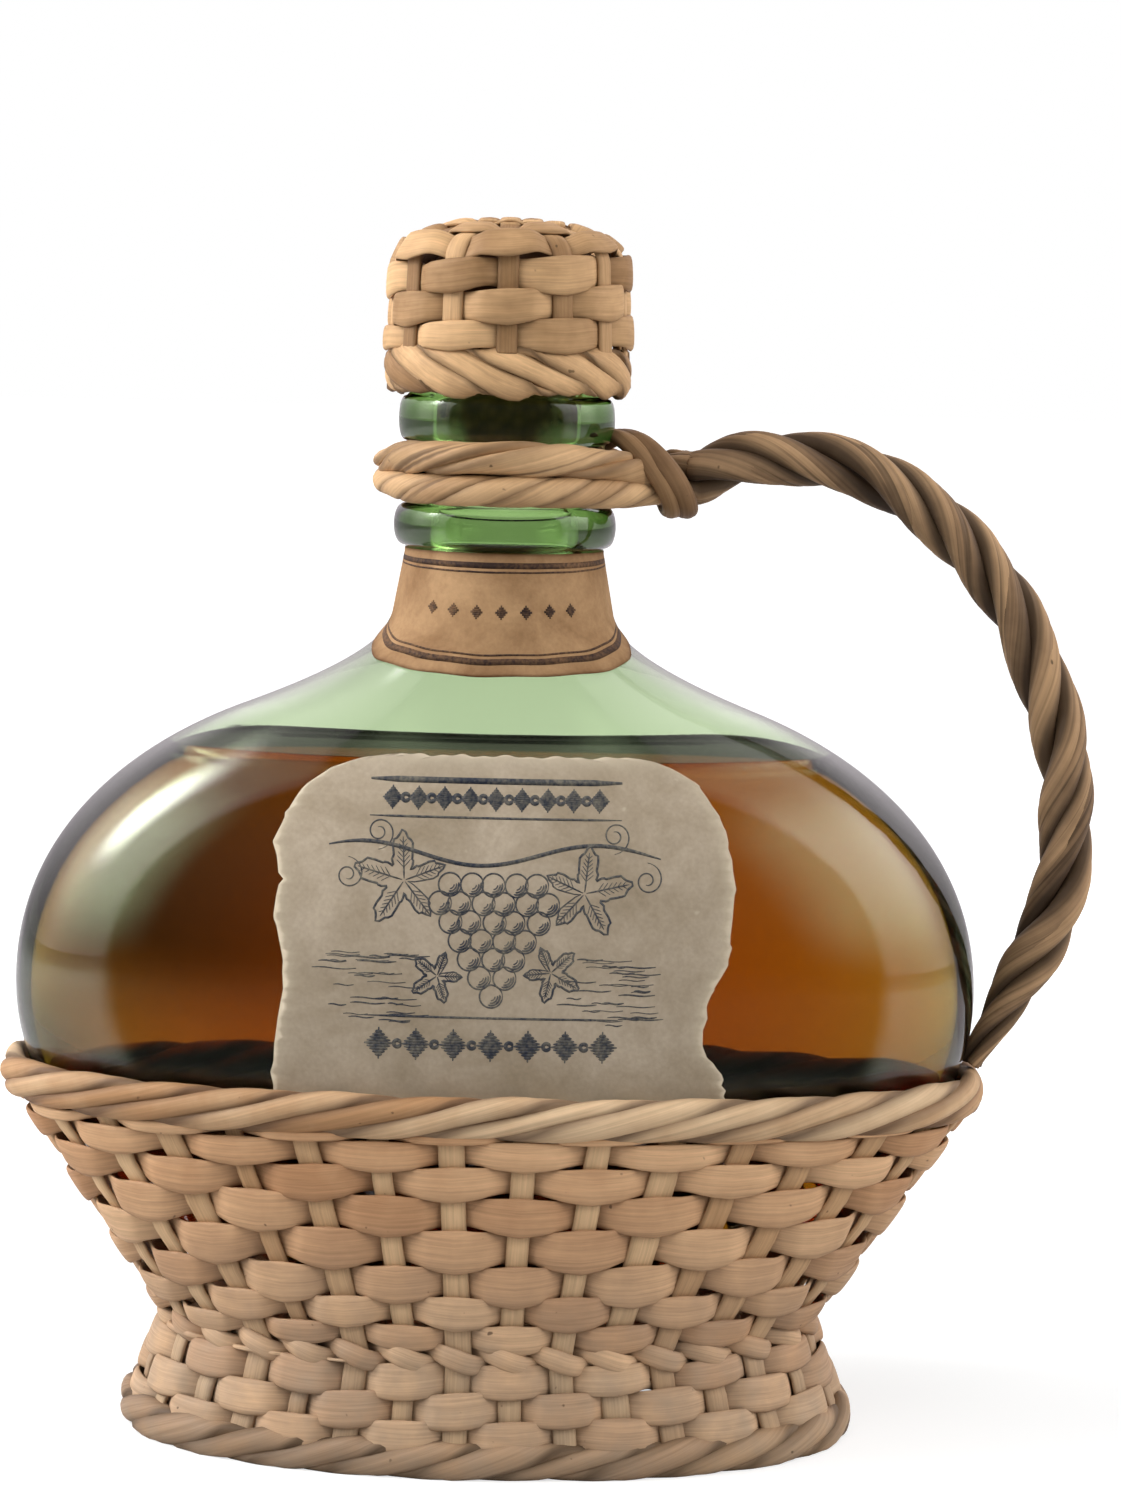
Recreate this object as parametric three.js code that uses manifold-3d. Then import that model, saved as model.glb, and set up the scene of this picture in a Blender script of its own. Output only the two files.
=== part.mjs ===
// Wicker flask: an oval green glass flask in a woven willow basket on a flared foot, with a rush
// collar round its neck, a twisted rush handle, two paper labels and a cork with a woven cap.
// Millimetres. +Z is up, +X points to the handle and -Y to the labelled front.
import * as THREE from 'three';
import { mergeVertices } from 'three/addons/utils/BufferGeometryUtils.js';
import Module from 'manifold-3d';

// Clearance between pieces that touch
const FIT_GAP = 0.3;
const WEAVE_GAP = 0.5; // between a stake and the skein that crosses it

// Glass flask
const FLASK_WIDTH = 151.6;
const FLASK_DEPTH = 67;
const FLASK_SQUARENESS = 2.2; // power of the oval seen from above, 2 is an ellipse
const BELLY_DROP = 49.8; // widest level down to the flat bottom
const BELLY_CURVE = 50.6; // half height of the lower ellipse, a little more than the drop
const SHOULDER_RISE = 51; // half height of the upper curve
const SHOULDER_FULLNESS = 2.15; // power of the upper curve
const SHOULDER_TURN_WIDE = 0.87; // share of the rise where the wide side turns up to the neck
const SHOULDER_TURN_DEEP = 0.68; // the same for the flat side
const NECK_ROOT_RISE = 59.5; // widest level up to the round neck
const NECK_ROOT_RADIUS = 17;
const NECK_RADIUS = 15.1;
const NECK_LENGTH = 10.4;
const LOWER_BEAD_RADIUS = 17.4;
const LOWER_BEAD_HEIGHT = 6.6;
const GROOVE_RADIUS = 15.4;
const UPPER_BEAD_RADIUS = 16.9;
const UPPER_BEAD_HEIGHT = 7;
const LIP_RADIUS = 15.3;
const LIP_HEIGHT = 8;
const LIP_BEVEL = 1;
const GLASS_WALL = 2.6;
const BORE_RADIUS = 11.6;
const BORE_FLARE_DROP = 4; // neck's root down to where the inside follows the shoulder
const FILL_RISE = 41.2; // widest level up to the wine's surface

// Rush collar, tie and handle
const COLLAR_STRAND_RADIUS = 2.2;
const COLLAR_REACH = 26.2; // middle of the neck to the middle of the collar's eye
const COLLAR_EYE_RADIUS = 2.6;
const EYE_SLIMNESS = 0.75; // strand size at the eye against the rest
const TIE_RADIUS = 1.2;
const HANDLE_STRANDS = 3;
const HANDLE_TURNS = 4.6;
const HANDLE_RADIUS = 4.3;
const HANDLE_STRAND_FULLNESS = 0.86; // strand size against the largest that fits beside the others
const HANDLE_SEAT = 1.9; // from the collar's eye to the handle's first point
const HANDLE_REACH = 89.7; // middle of the flask to the middle of the handle's far side
const HANDLE_FAR_RISE = 25.5; // widest level up to the handle's far point
const HANDLE_ARCH = 11.5; // how far the handle's curve is drawn up at the collar
const HANDLE_PULLS = { start: 0.44, top: 0.75, bottom: 0.36, endAcross: 0.42, endUp: 0.32 };
const HANDLE_TIP = 0.46; // size of the handle's lower tip against the rest
const HANDLE_TIP_START = 0.82; // share of the handle's length where it starts to slim

// Woven basket
const STAKE_COUNT = 33; // odd, so one skein passes each stake on the other side on every round
const STAKE_WIDTH = 4.2;
const STAKE_THICKNESS = 1.1;
const SKEIN_THICKNESS = 0.9;
const WAIST_HEIGHT = 17.8;
const WAIST_WIDTH = 101.4;
const WAIST_DEPTH = 66;
const FOOT_WIDTH = 112.4;
const FOOT_DEPTH = 70.4;
const RIM_HEIGHT = 55;
const BODY_ROUNDS = 7;
const BODY_CLIMB = 7.3; // turns in which the wall's skein climbs from the waist to the rim
const BODY_SWING = 0.22; // how much closer its rounds lie at the waist and rim than between them
const FOOT_ROUNDS = 3;
const FOOT_CLIMB = 3;
const SKEIN_START = 0.5; // turns before a skein starts to climb
const SKEIN_SWELL = 1.12; // skein width over a stake against the row pitch
const WAIST_STRAND_HEIGHT = 1.5;
const BASE_MAT_THICKNESS = 3;

// Rolled borders. A strand goes round several times, and each band is one of its crossings over the
// outside.
const RIM_PASSES = 6;
const RIM_BANDS = 34;
const FOOT_PASSES = 4;
const FOOT_BANDS = 34;
const BORDER_CORE = 0.3; // inner edge of a strand against the border's half size
const BORDER_START = 0.2;
const BORDER_HALF_THICKNESS = 2.3;
const RIM_HALF_HEIGHT = 3.6;
const FOOT_HALF_HEIGHT = 3.3;
const FOOT_FLAT = 0.9; // depth of the flats that the part stands on

// Labels
const PAPER_THICKNESS = 0.25;
const FRONT_LABEL_SEAT = 0.4; // between the paper's back and the curve of the glass
const NECK_LABEL_SEAT = 0.7; // the same where the glass curves both ways
const FRONT_LABEL_WIDTH = 68;
const FRONT_LABEL_TOP = 39; // above the widest level
const FRONT_LABEL_CORNER = 15;
const NECK_LABEL_HALF_ANGLE = 1.7;
const NECK_LABEL_HEIGHT = 18.5;
const NECK_LABEL_DIP = 0.3; // how much shorter the neck label is at its ends

// Cork and its woven cap
const CORK_LENGTH = 24;
const CORK_TAPER = 0.5;
const CORK_BEVEL = 0.8;
const CORK_HEAD_HEIGHT = 14.5;
const CAP_STAKES = 13;
const CAP_STAKE_WIDTH = 3.4;
const CAP_STAKE_THICKNESS = 0.9;
const CAP_SKEIN_THICKNESS = 0.8;
const CAP_OVERLAP = 7.5; // how far the cap hangs down over the lip
const CAP_SPREAD = 0.9; // how much wider the cap is at its lower edge
const CAP_ROUNDS = 4;
const CAP_TOP_ROUNDS = 1;
const CAP_CORNER = 4.5;
const CAP_DOME = 2.6;
const CAP_BUTTON_RADIUS = 8;
const CAP_BUTTON_EYE = 1;
const CAP_BUTTON_FULLNESS = 1.2; // button's thickness against a stake's
const CAP_BORDER_PASSES = 4;
const CAP_BORDER_BANDS = 14;
const CAP_BORDER_HALF_HEIGHT = 3.6;
const CAP_BORDER_HALF_THICKNESS = 1.7;

// Facets
const FLASK_SIDES = 24;
const STRAND_STEPS = 8; // steps in one turn of a handle's strand
const BORDER_STEPS = 6; // steps in one turn of a border's strand

// Levels that follow from the sizes
const MAT_TOP = WAIST_HEIGHT + BASE_MAT_THICKNESS / 2;
const FLASK_BOTTOM = MAT_TOP + FIT_GAP;
const BELLY_Z = FLASK_BOTTOM + BELLY_DROP;
const FILL_Z = BELLY_Z + FILL_RISE;
const NECK_ROOT_Z = BELLY_Z + NECK_ROOT_RISE;
const LOWER_BEAD_Z = NECK_ROOT_Z + NECK_LENGTH;
const GROOVE_Z = LOWER_BEAD_Z + LOWER_BEAD_HEIGHT;
const COLLAR_STRAND_STEP = 2 * COLLAR_STRAND_RADIUS + FIT_GAP;
const GROOVE_HEIGHT = COLLAR_STRAND_STEP + 2 * COLLAR_STRAND_RADIUS + 2 * FIT_GAP;
const UPPER_BEAD_Z = GROOVE_Z + GROOVE_HEIGHT;
const LIP_Z = UPPER_BEAD_Z + UPPER_BEAD_HEIGHT;
const MOUTH_Z = LIP_Z + LIP_HEIGHT;

const vec = (x, y, z) => new THREE.Vector3(x, y, z);
const wasm = await Module();
wasm.setup();

// Volume of a triangle mesh, negative when its faces point inwards
function signedVolume(points, index) {
  let sum = 0;
  for (let i = 0; i < index.length; i += 3) {
    const [a, b, c] = [points[index[i]], points[index[i + 1]], points[index[i + 2]]];
    sum += a.dot(b.clone().cross(c)) / 6;
  }
  return sum;
}

// Solid lofted through rings of points. A loop joins its last ring to its first one, and any other
// loft is closed by a flat face at each end.
function loft(rings, isLoop = false, crossedSides = []) {
  const sides = rings[0].length;
  const points = rings.flat();
  const index = [];
  const spans = isLoop ? rings.length : rings.length - 1;
  for (let i = 0; i < spans; i++) {
    const here = i * sides;
    const next = ((i + 1) % rings.length) * sides;
    for (let j = 0; j < sides; j++) {
      const k = (j + 1) % sides;
      if (crossedSides.includes(j)) {
        index.push(here + j, here + k, next + j, here + k, next + k, next + j);
      } else {
        index.push(here + j, here + k, next + k, here + j, next + k, next + j);
      }
    }
  }
  if (!isLoop) {
    const last = points.length - sides;
    for (let j = 1; j < sides - 1; j++) {
      index.push(0, j + 1, j, last, last + j, last + j + 1);
    }
  }
  if (signedVolume(points, index) < 0) index.reverse();
  const geometry = new THREE.BufferGeometry().setFromPoints(points);
  geometry.setIndex(index);
  return geometry;
}

// Geometry as a closed solid for cutting and joining
function solidOf(geometry) {
  const bare = geometry.clone();
  bare.deleteAttribute('normal');
  bare.deleteAttribute('uv');
  const merged = mergeVertices(bare, 1e-4);
  const triVerts = new Uint32Array(merged.index.array);
  const vertProperties = new Float32Array(merged.attributes.position.array);
  return new wasm.Manifold(new wasm.Mesh({ numProp: 3, vertProperties, triVerts }));
}

// Closed solid back to geometry
function geometryOf(solid) {
  const mesh = solid.getMesh();
  const geometry = new THREE.BufferGeometry();
  geometry.setAttribute('position', new THREE.BufferAttribute(mesh.vertProperties, 3));
  geometry.setIndex(new THREE.BufferAttribute(mesh.triVerts, 1));
  return geometry;
}

// Point on an oval
function ovalPoint(angle, halfWidth, halfDepth, power, z) {
  const c = Math.cos(angle);
  const s = Math.sin(angle);
  const reach = (Math.abs(c) ** power + Math.abs(s) ** power) ** (-1 / power);
  return vec(halfWidth * reach * c, halfDepth * reach * s, z);
}

// Half width of the flask's body at a height: lower ellipse, fuller upper curve, then a smooth
// turn up into the neck
function bodyHalf(z, half, turn) {
  const rise = z - BELLY_Z;
  if (rise <= 0) return half * Math.sqrt(Math.max(0, 1 - (rise / BELLY_CURVE) ** 2));
  const power = SHOULDER_FULLNESS;
  const curve = (u) => half * (1 - u ** power) ** (1 / power);
  const start = turn * SHOULDER_RISE;
  if (rise <= start) return curve(rise / SHOULDER_RISE);
  const span = NECK_ROOT_RISE - start;
  const t = Math.min(1, (rise - start) / span);
  const slopeIn = (curve(turn) - curve(turn - 0.002)) / (0.002 * SHOULDER_RISE);
  const slopeOut = (NECK_RADIUS - NECK_ROOT_RADIUS) / NECK_LENGTH;
  const keep = 2 * t ** 3 - 3 * t ** 2 + 1;
  return curve(turn) * keep + NECK_ROOT_RADIUS * (1 - keep)
    + span * ((t ** 3 - 2 * t ** 2 + t) * slopeIn + (t ** 3 - t ** 2) * slopeOut);
}

const wideHalf = (z) => bodyHalf(z, FLASK_WIDTH / 2, SHOULDER_TURN_WIDE);
const deepHalf = (z) => bodyHalf(z, FLASK_DEPTH / 2, SHOULDER_TURN_DEEP);

// Power of the flask's oval at a height: the body is squarer than an ellipse and the neck is round
function ovalPower(z) {
  const t = THREE.MathUtils.smoothstep(z, BELLY_Z + SHOULDER_RISE * SHOULDER_TURN_DEEP, NECK_ROOT_Z);
  return THREE.MathUtils.lerp(FLASK_SQUARENESS, 2, t);
}

// Radius of the round neck below its lower bead
function neckRadius(z) {
  const t = (z - NECK_ROOT_Z) / NECK_LENGTH;
  return THREE.MathUtils.lerp(NECK_ROOT_RADIUS, NECK_RADIUS, Math.min(1, t));
}

// Point on the flask's outer surface, up to the lower bead, moved outwards by an offset
function flaskPoint(angle, z, offset) {
  const isNeck = z >= NECK_ROOT_Z;
  const halfWidth = isNeck ? neckRadius(z) : wideHalf(z);
  const halfDepth = isNeck ? neckRadius(z) : deepHalf(z);
  return ovalPoint(angle, halfWidth + offset, halfDepth + offset, ovalPower(z), z);
}

// Ring of the flask's body at a height
function flaskRing(z, offset) {
  const ring = [];
  for (let j = 0; j < FLASK_SIDES; j++) {
    ring.push(flaskPoint((2 * Math.PI * j) / FLASK_SIDES, z, offset));
  }
  return ring;
}

// Round ring
function roundRing(radius, z) {
  const ring = [];
  for (let j = 0; j < FLASK_SIDES; j++) {
    ring.push(ovalPoint((2 * Math.PI * j) / FLASK_SIDES, radius, radius, 2, z));
  }
  return ring;
}

// Heights from one level to another, closer together near the ends of the curve
function levelsBetween(low, high, count) {
  const levels = [];
  for (let i = 0; i <= count; i++) {
    const t = (1 - Math.cos((Math.PI * i) / count)) / 2;
    levels.push(THREE.MathUtils.lerp(low, high, 0.5 * t + (0.5 * i) / count));
  }
  return levels;
}

// Half-round bead seen from the side, as radius and height pairs
function beadProfile(low, height, foot, radius) {
  const pairs = [];
  for (const angle of [-50, 0, 50]) {
    const a = THREE.MathUtils.degToRad(angle);
    pairs.push([foot + (radius - foot) * Math.cos(a) ** 0.6, low + (height / 2) * (1 + Math.sin(a))]);
  }
  return pairs;
}

// Heights of the flask's inner rings that the wine covers
function wineLevels() {
  return levelsBetween(FLASK_BOTTOM + GLASS_WALL, FILL_Z, 6);
}

// Glass flask, open at the mouth
function makeFlask() {
  const turnZ = BELLY_Z + SHOULDER_TURN_WIDE * SHOULDER_RISE;
  const outside = levelsBetween(FLASK_BOTTOM, BELLY_Z, 5);
  outside.push(...levelsBetween(BELLY_Z, turnZ, 5).slice(1));
  outside.push(...levelsBetween(turnZ, NECK_ROOT_Z, 4).slice(1));
  const finish = [
    [NECK_RADIUS, LOWER_BEAD_Z],
    ...beadProfile(LOWER_BEAD_Z, LOWER_BEAD_HEIGHT, NECK_RADIUS, LOWER_BEAD_RADIUS),
    [GROOVE_RADIUS, GROOVE_Z],
    [GROOVE_RADIUS, UPPER_BEAD_Z],
    ...beadProfile(UPPER_BEAD_Z, UPPER_BEAD_HEIGHT, GROOVE_RADIUS, UPPER_BEAD_RADIUS).slice(1),
    [LIP_RADIUS, LIP_Z],
    [LIP_RADIUS, MOUTH_Z - LIP_BEVEL],
    [LIP_RADIUS - LIP_BEVEL, MOUTH_Z],
    [BORE_RADIUS, MOUTH_Z],
    [BORE_RADIUS, NECK_ROOT_Z],
  ];
  const dry = levelsBetween(FILL_Z, NECK_ROOT_Z - BORE_FLARE_DROP, 3).slice(1);
  const inside = [...wineLevels(), ...dry].reverse();
  return loft([
    ...outside.map((z) => flaskRing(z, 0)),
    ...finish.map(([radius, z]) => roundRing(radius, z)),
    ...inside.map((z) => flaskRing(z, -GLASS_WALL)),
  ]);
}

// Wine that fills the flask up to its level
function makeWine() {
  const rings = wineLevels().map((z) => flaskRing(z, -GLASS_WALL - FIT_GAP));
  for (const point of rings[0]) point.z += FIT_GAP;
  return loft(rings);
}

// Sheet of paper on the flask: each row gives its height and the angle it reaches to each side of
// the front
function makeLabel(rows, columns, seat) {
  const front = -Math.PI / 2;
  const stripes = [];
  for (let j = 0; j <= columns; j++) {
    const share = (2 * j) / columns - 1;
    const face = (offset) => (
      rows.map((row) => flaskPoint(front + share * row.half, row.level(share), offset))
    );
    stripes.push([...face(seat), ...face(seat + PAPER_THICKNESS).reverse()]);
  }
  return closeSheet(stripes);
}

// Thin sheet lofted from stripes whose first half is the inner face and second half the outer one
function closeSheet(stripes) {
  const count = stripes[0].length;
  const points = stripes.flat();
  const index = [];
  for (let i = 0; i < stripes.length - 1; i++) {
    for (let j = 0; j < count; j++) {
      const k = (j + 1) % count;
      const here = i * count;
      const next = here + count;
      index.push(here + j, here + k, next + k, here + j, next + k, next + j);
    }
  }
  const last = points.length - count;
  for (let j = 0; j < count / 2 - 1; j++) {
    const k = count - 1 - j;
    index.push(j, k, j + 1, j + 1, k, k - 1);
    index.push(last + j, last + j + 1, last + k, last + j + 1, last + k - 1, last + k);
  }
  if (signedVolume(points, index) < 0) index.reverse();
  const geometry = new THREE.BufferGeometry().setFromPoints(points);
  geometry.setIndex(index);
  return geometry;
}

// Angle from the front at which the flask's surface is a given distance from the middle plane
function angleForHalfWidth(half, z) {
  let low = 0;
  let high = Math.PI / 2;
  for (let i = 0; i < 30; i++) {
    const middle = (low + high) / 2;
    if (flaskPoint(middle - Math.PI / 2, z, 0).x < half) low = middle;
    else high = middle;
  }
  return low;
}

// Front label: straight sides, rounded upper corners, lower edge just above the rim
function makeFrontLabel() {
  const top = BELLY_Z + FRONT_LABEL_TOP;
  const bottom = RIM_HEIGHT + RIM_HALF_HEIGHT + FIT_GAP;
  const cornerStart = top - FRONT_LABEL_CORNER;
  const levels = [0, 0.35, 0.7, 1].map((t) => THREE.MathUtils.lerp(bottom, cornerStart, t));
  for (const angle of [30, 60, 85]) {
    levels.push(cornerStart + FRONT_LABEL_CORNER * Math.sin(THREE.MathUtils.degToRad(angle)));
  }
  const rows = levels.map((z) => {
    const sine = Math.max(0, (z - cornerStart) / FRONT_LABEL_CORNER);
    const half = FRONT_LABEL_WIDTH / 2 - FRONT_LABEL_CORNER * (1 - Math.sqrt(1 - sine ** 2));
    return { half: angleForHalfWidth(half, z), level: () => z };
  });
  return makeLabel(rows, 8, FRONT_LABEL_SEAT);
}

// Neck label: wraps the front of the neck, and its lower edge dips in the middle
function makeNeckLabel() {
  const top = LOWER_BEAD_Z - FIT_GAP;
  const rows = [1, 0.7, 0.45, 0.2, 0].map((t) => ({
    half: NECK_LABEL_HALF_ANGLE,
    level: (share) => top - (1 - t) * NECK_LABEL_HEIGHT * (1 - NECK_LABEL_DIP * share ** 2),
  }));
  return makeLabel(rows, 10, NECK_LABEL_SEAT);
}

// Straight lean of the basket's wall, out from the waist, just far enough to clear the flask
function wallLean(waistHalf, flaskHalf) {
  const inset = STAKE_THICKNESS / 2 + SKEIN_THICKNESS + WEAVE_GAP + FIT_GAP;
  let lean = 0;
  for (let pass = 0; pass < 4; pass++) {
    const room = inset * Math.hypot(1, lean);
    for (let z = WAIST_HEIGHT + 8; z <= RIM_HEIGHT; z += 1) {
      lean = Math.max(lean, (flaskHalf(z) + room - waistHalf) / (z - WAIST_HEIGHT));
    }
  }
  return lean;
}

const LEAN_WIDE = wallLean(WAIST_WIDTH / 2, wideHalf);
const LEAN_DEEP = wallLean(WAIST_DEPTH / 2, deepHalf);
const FOOT_CENTRE_Z = FOOT_HALF_HEIGHT - FOOT_FLAT;
const FLARE_WIDE = (FOOT_WIDTH - WAIST_WIDTH) / 2 / (WAIST_HEIGHT - FOOT_CENTRE_Z);
const FLARE_DEEP = (FOOT_DEPTH - WAIST_DEPTH) / 2 / (WAIST_HEIGHT - FOOT_CENTRE_Z);

// Point on the middle surface of the basket's wall and foot
function basketPoint(angle, z) {
  const rise = z - WAIST_HEIGHT;
  const wide = WAIST_WIDTH / 2 + (rise > 0 ? LEAN_WIDE * rise : -FLARE_WIDE * rise);
  const deep = WAIST_DEPTH / 2 + (rise > 0 ? LEAN_DEEP * rise : -FLARE_DEEP * rise);
  return ovalPoint(angle, wide, deep, FLASK_SQUARENESS, z);
}

// Directions on a surface: around it, up along it and straight out of it
function frameOn(surface, angle, level) {
  const step = 1e-3;
  const point = surface(angle, level);
  const around = surface(angle + step, level).sub(surface(angle - step, level)).normalize();
  const rise = surface(angle, level + step).sub(surface(angle, level - step)).normalize();
  const out = around.clone().cross(rise).normalize();
  const up = out.clone().cross(around).normalize();
  return { point, around, up, out };
}

// Angles that divide an oval into equal lengths
const BACK = Math.PI / 2;
function equalAngles(surface, level, count, start = BACK) {
  const samples = 2000;
  const lengths = [0];
  const angleAt = (i) => start + (2 * Math.PI * i) / samples;
  for (let i = 1; i <= samples; i++) {
    lengths.push(lengths[i - 1] + surface(angleAt(i), level).distanceTo(surface(angleAt(i - 1), level)));
  }
  const angles = [];
  let i = 0;
  for (let k = 0; k < count; k++) {
    while (lengths[i] < (lengths[samples] * k) / count) i++;
    angles.push(angleAt(i));
  }
  return angles;
}

// Sections of a strip: a flat one with four corners, and a split one with a flat back and a ridge
// along the middle of its face
const FLAT_STRIP = [[-1, -1], [1, -1], [1, 1], [-1, 1]];
const SPLIT_STRIP = [[-1, -1], [1, -1], [0, 1]];
function stripRing(centre, wide, thick, width, thickness, corners = FLAT_STRIP) {
  return corners.map(([w, t]) => centre.clone().addScaledVector(wide, (w * width) / 2)
    .addScaledVector(thick, (t * thickness) / 2));
}

// Upright stake: a flat strip that follows the surface
function makeStake(surface, angle, levels, width, thickness) {
  return loft(levels.map((level) => {
    const at = frameOn(surface, angle, level);
    return stripRing(at.point, at.around, at.out, width, thickness);
  }));
}

// Level of a skein's lower edge after a number of turns. The next round's lower edge is its upper one.
function skeinEdge(turn, low, high, climb, swing) {
  const u = THREE.MathUtils.clamp((turn - SKEIN_START) / climb, 0, 1);
  return low + (high - low) * (u - (swing * Math.sin(2 * Math.PI * u)) / (2 * Math.PI));
}

// One skein woven round and round the stakes, outside one and inside the next. It is widest where
// it crosses outside a stake and narrow where it is tucked behind one.
function makeSkein(weave) {
  const { surface, angles, rounds, edgeAt, stakeWidth, stakeThickness, thickness } = weave;
  const reach = stakeWidth / 2 + WEAVE_GAP;
  const offset = (stakeThickness + thickness) / 2 + WEAVE_GAP;
  const rings = [];
  const last = Math.round(rounds * angles.length);
  for (let k = 0; k <= last; k++) {
    const turn = k / angles.length;
    const side = k % 2 ? 1 : -1;
    const low = edgeAt(turn);
    const pitch = edgeAt(turn + 1) - low;
    const at = frameOn(surface, angles[k % angles.length], low + pitch / 2);
    const over = SKEIN_SWELL * pitch;
    const width = side > 0 ? over : 2 * (pitch - FIT_GAP) - over;
    for (const shoulder of [-1, 1]) {
      const centre = at.point.clone().addScaledVector(at.around, shoulder * reach);
      centre.addScaledVector(at.out, side * offset);
      rings.push(stripRing(centre, at.up, at.out, width, thickness, SPLIT_STRIP));
    }
  }
  return loft(rings);
}

// One of the two strands twined round the stakes at the waist: it slopes down across the outside of
// one stake and up across the inside of the next, so that the two strands cross between the stakes
function makeTwinedStrand(angles, first) {
  const half = WAIST_STRAND_HEIGHT / 2 + FIT_GAP / 2;
  const reach = STAKE_WIDTH / 2 + WEAVE_GAP;
  const rings = [];
  angles.forEach((angle, i) => {
    const at = frameOn(basketPoint, angle, WAIST_HEIGHT);
    const side = (i + first) % 2 ? 1 : -1;
    const tall = half + WAIST_STRAND_HEIGHT / 2;
    const above = basketPoint(angle, WAIST_HEIGHT + tall).sub(at.point).dot(at.out);
    const below = basketPoint(angle, WAIST_HEIGHT - tall).sub(at.point).dot(at.out);
    const sink = side > 0 ? Math.max(0, above, below) : 0;
    const offset = (STAKE_THICKNESS + SKEIN_THICKNESS) / 2 + WEAVE_GAP + sink;
    for (const shoulder of [-1, 1]) {
      const centre = at.point.clone().addScaledVector(at.around, shoulder * reach);
      centre.addScaledVector(at.out, side * offset).addScaledVector(at.up, -shoulder * side * half);
      rings.push(stripRing(centre, at.up, at.out, WAIST_STRAND_HEIGHT, SKEIN_THICKNESS));
    }
  });
  return loft(rings);
}

// One of the two strands of a border that go round an oval several times. Their passes lie side by
// side like the strands of a rope, with a gap between them, and rise or fall to the right outside.
// Each strand closes on itself when passes and bands are even and their halves share no factor.
function makeRolledStrand({ places, passes, bands, isRising, halfThickness, halfHeight }, number) {
  const rings = [];
  const way = isRising ? 1 : -1;
  for (let i = 0; i < (passes / 2) * places.length; i++) {
    const { point, out, up } = places[i % places.length];
    const turns = (bands * i) / (passes * places.length) + (number - BORDER_START) / passes;
    const middle = way * 2 * Math.PI * turns;
    const corners = [[BORDER_CORE, way], [BORDER_CORE, -way], [1, -way], [1, way]];
    rings.push(corners.map(([radius, side]) => {
      const half = Math.PI / passes - FIT_GAP / 2 / (radius * halfThickness);
      const angle = middle + side * half;
      return point.clone()
        .addScaledVector(out, halfThickness * radius * Math.cos(angle))
        .addScaledVector(up, halfHeight * radius * Math.sin(angle));
    }));
  }
  // The outer side bulges, and the sides of neighbouring passes stay parallel
  return loft(rings, true, [2, 3]);
}

// Places along a level oval for each step of a border's strand
function borderPlaces(halfWidth, halfDepth, power, z, passes, bands) {
  const count = Math.round((BORDER_STEPS * bands) / passes);
  const surface = (angle, level) => ovalPoint(angle, halfWidth, halfDepth, power, level);
  return equalAngles(surface, z, count).map((angle) => frameOn(surface, angle, z));
}

// Half size of the rim's line that lays the rim against the flask
function rimSeat(flaskHalf) {
  let half = 0;
  for (let t = -1; t <= 1; t += 0.1) {
    const inward = BORDER_HALF_THICKNESS * Math.sqrt(Math.max(0, 1 - t ** 2));
    half = Math.max(half, flaskHalf(RIM_HEIGHT + t * RIM_HALF_HEIGHT) + inward + FIT_GAP);
  }
  return half;
}

// Closed cord of round strands through places, with its size at each place
function makeCord(places, sides, isLoop) {
  return loft(places.map(({ point, out, up, radius }) => {
    const ring = [];
    for (let j = 0; j < sides; j++) {
      const a = (2 * Math.PI * j) / sides;
      const corner = point.clone().addScaledVector(out, radius * Math.cos(a));
      ring.push(corner.addScaledVector(up, radius * Math.sin(a)));
    }
    return ring;
  }), isLoop);
}

// Collar strand: round the neck and out to a slim eye on the handle's side
function makeCollarStrand(z) {
  const seat = GROOVE_RADIUS + FIT_GAP + COLLAR_STRAND_RADIUS;
  const eyeCentre = COLLAR_REACH - COLLAR_EYE_RADIUS;
  const line = [];
  for (let i = 0; i <= 14; i++) {
    const a = THREE.MathUtils.degToRad(42 + (276 * i) / 14);
    line.push({ x: seat * Math.cos(a), y: seat * Math.sin(a), size: 1 });
  }
  for (const angle of [-80, -40, 0, 40, 80]) {
    const a = THREE.MathUtils.degToRad(angle);
    line.push({
      x: eyeCentre + COLLAR_EYE_RADIUS * Math.cos(a),
      y: COLLAR_EYE_RADIUS * Math.sin(a),
      size: EYE_SLIMNESS,
    });
  }
  const up = vec(0, 0, 1);
  const places = line.map((at, i) => {
    const before = line[(i + line.length - 1) % line.length];
    const after = line[(i + 1) % line.length];
    const out = vec(after.x - before.x, after.y - before.y, 0).normalize().cross(up);
    return { point: vec(at.x, at.y, z), out, up, radius: COLLAR_STRAND_RADIUS * at.size };
  });
  return makeCord(places, 6, true);
}

const COLLAR_LOW_Z = GROOVE_Z + FIT_GAP + COLLAR_STRAND_RADIUS;
const COLLAR_HIGH_Z = COLLAR_LOW_Z + COLLAR_STRAND_STEP;
const COLLAR_MIDDLE_Z = (COLLAR_LOW_Z + COLLAR_HIGH_Z) / 2;

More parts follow.
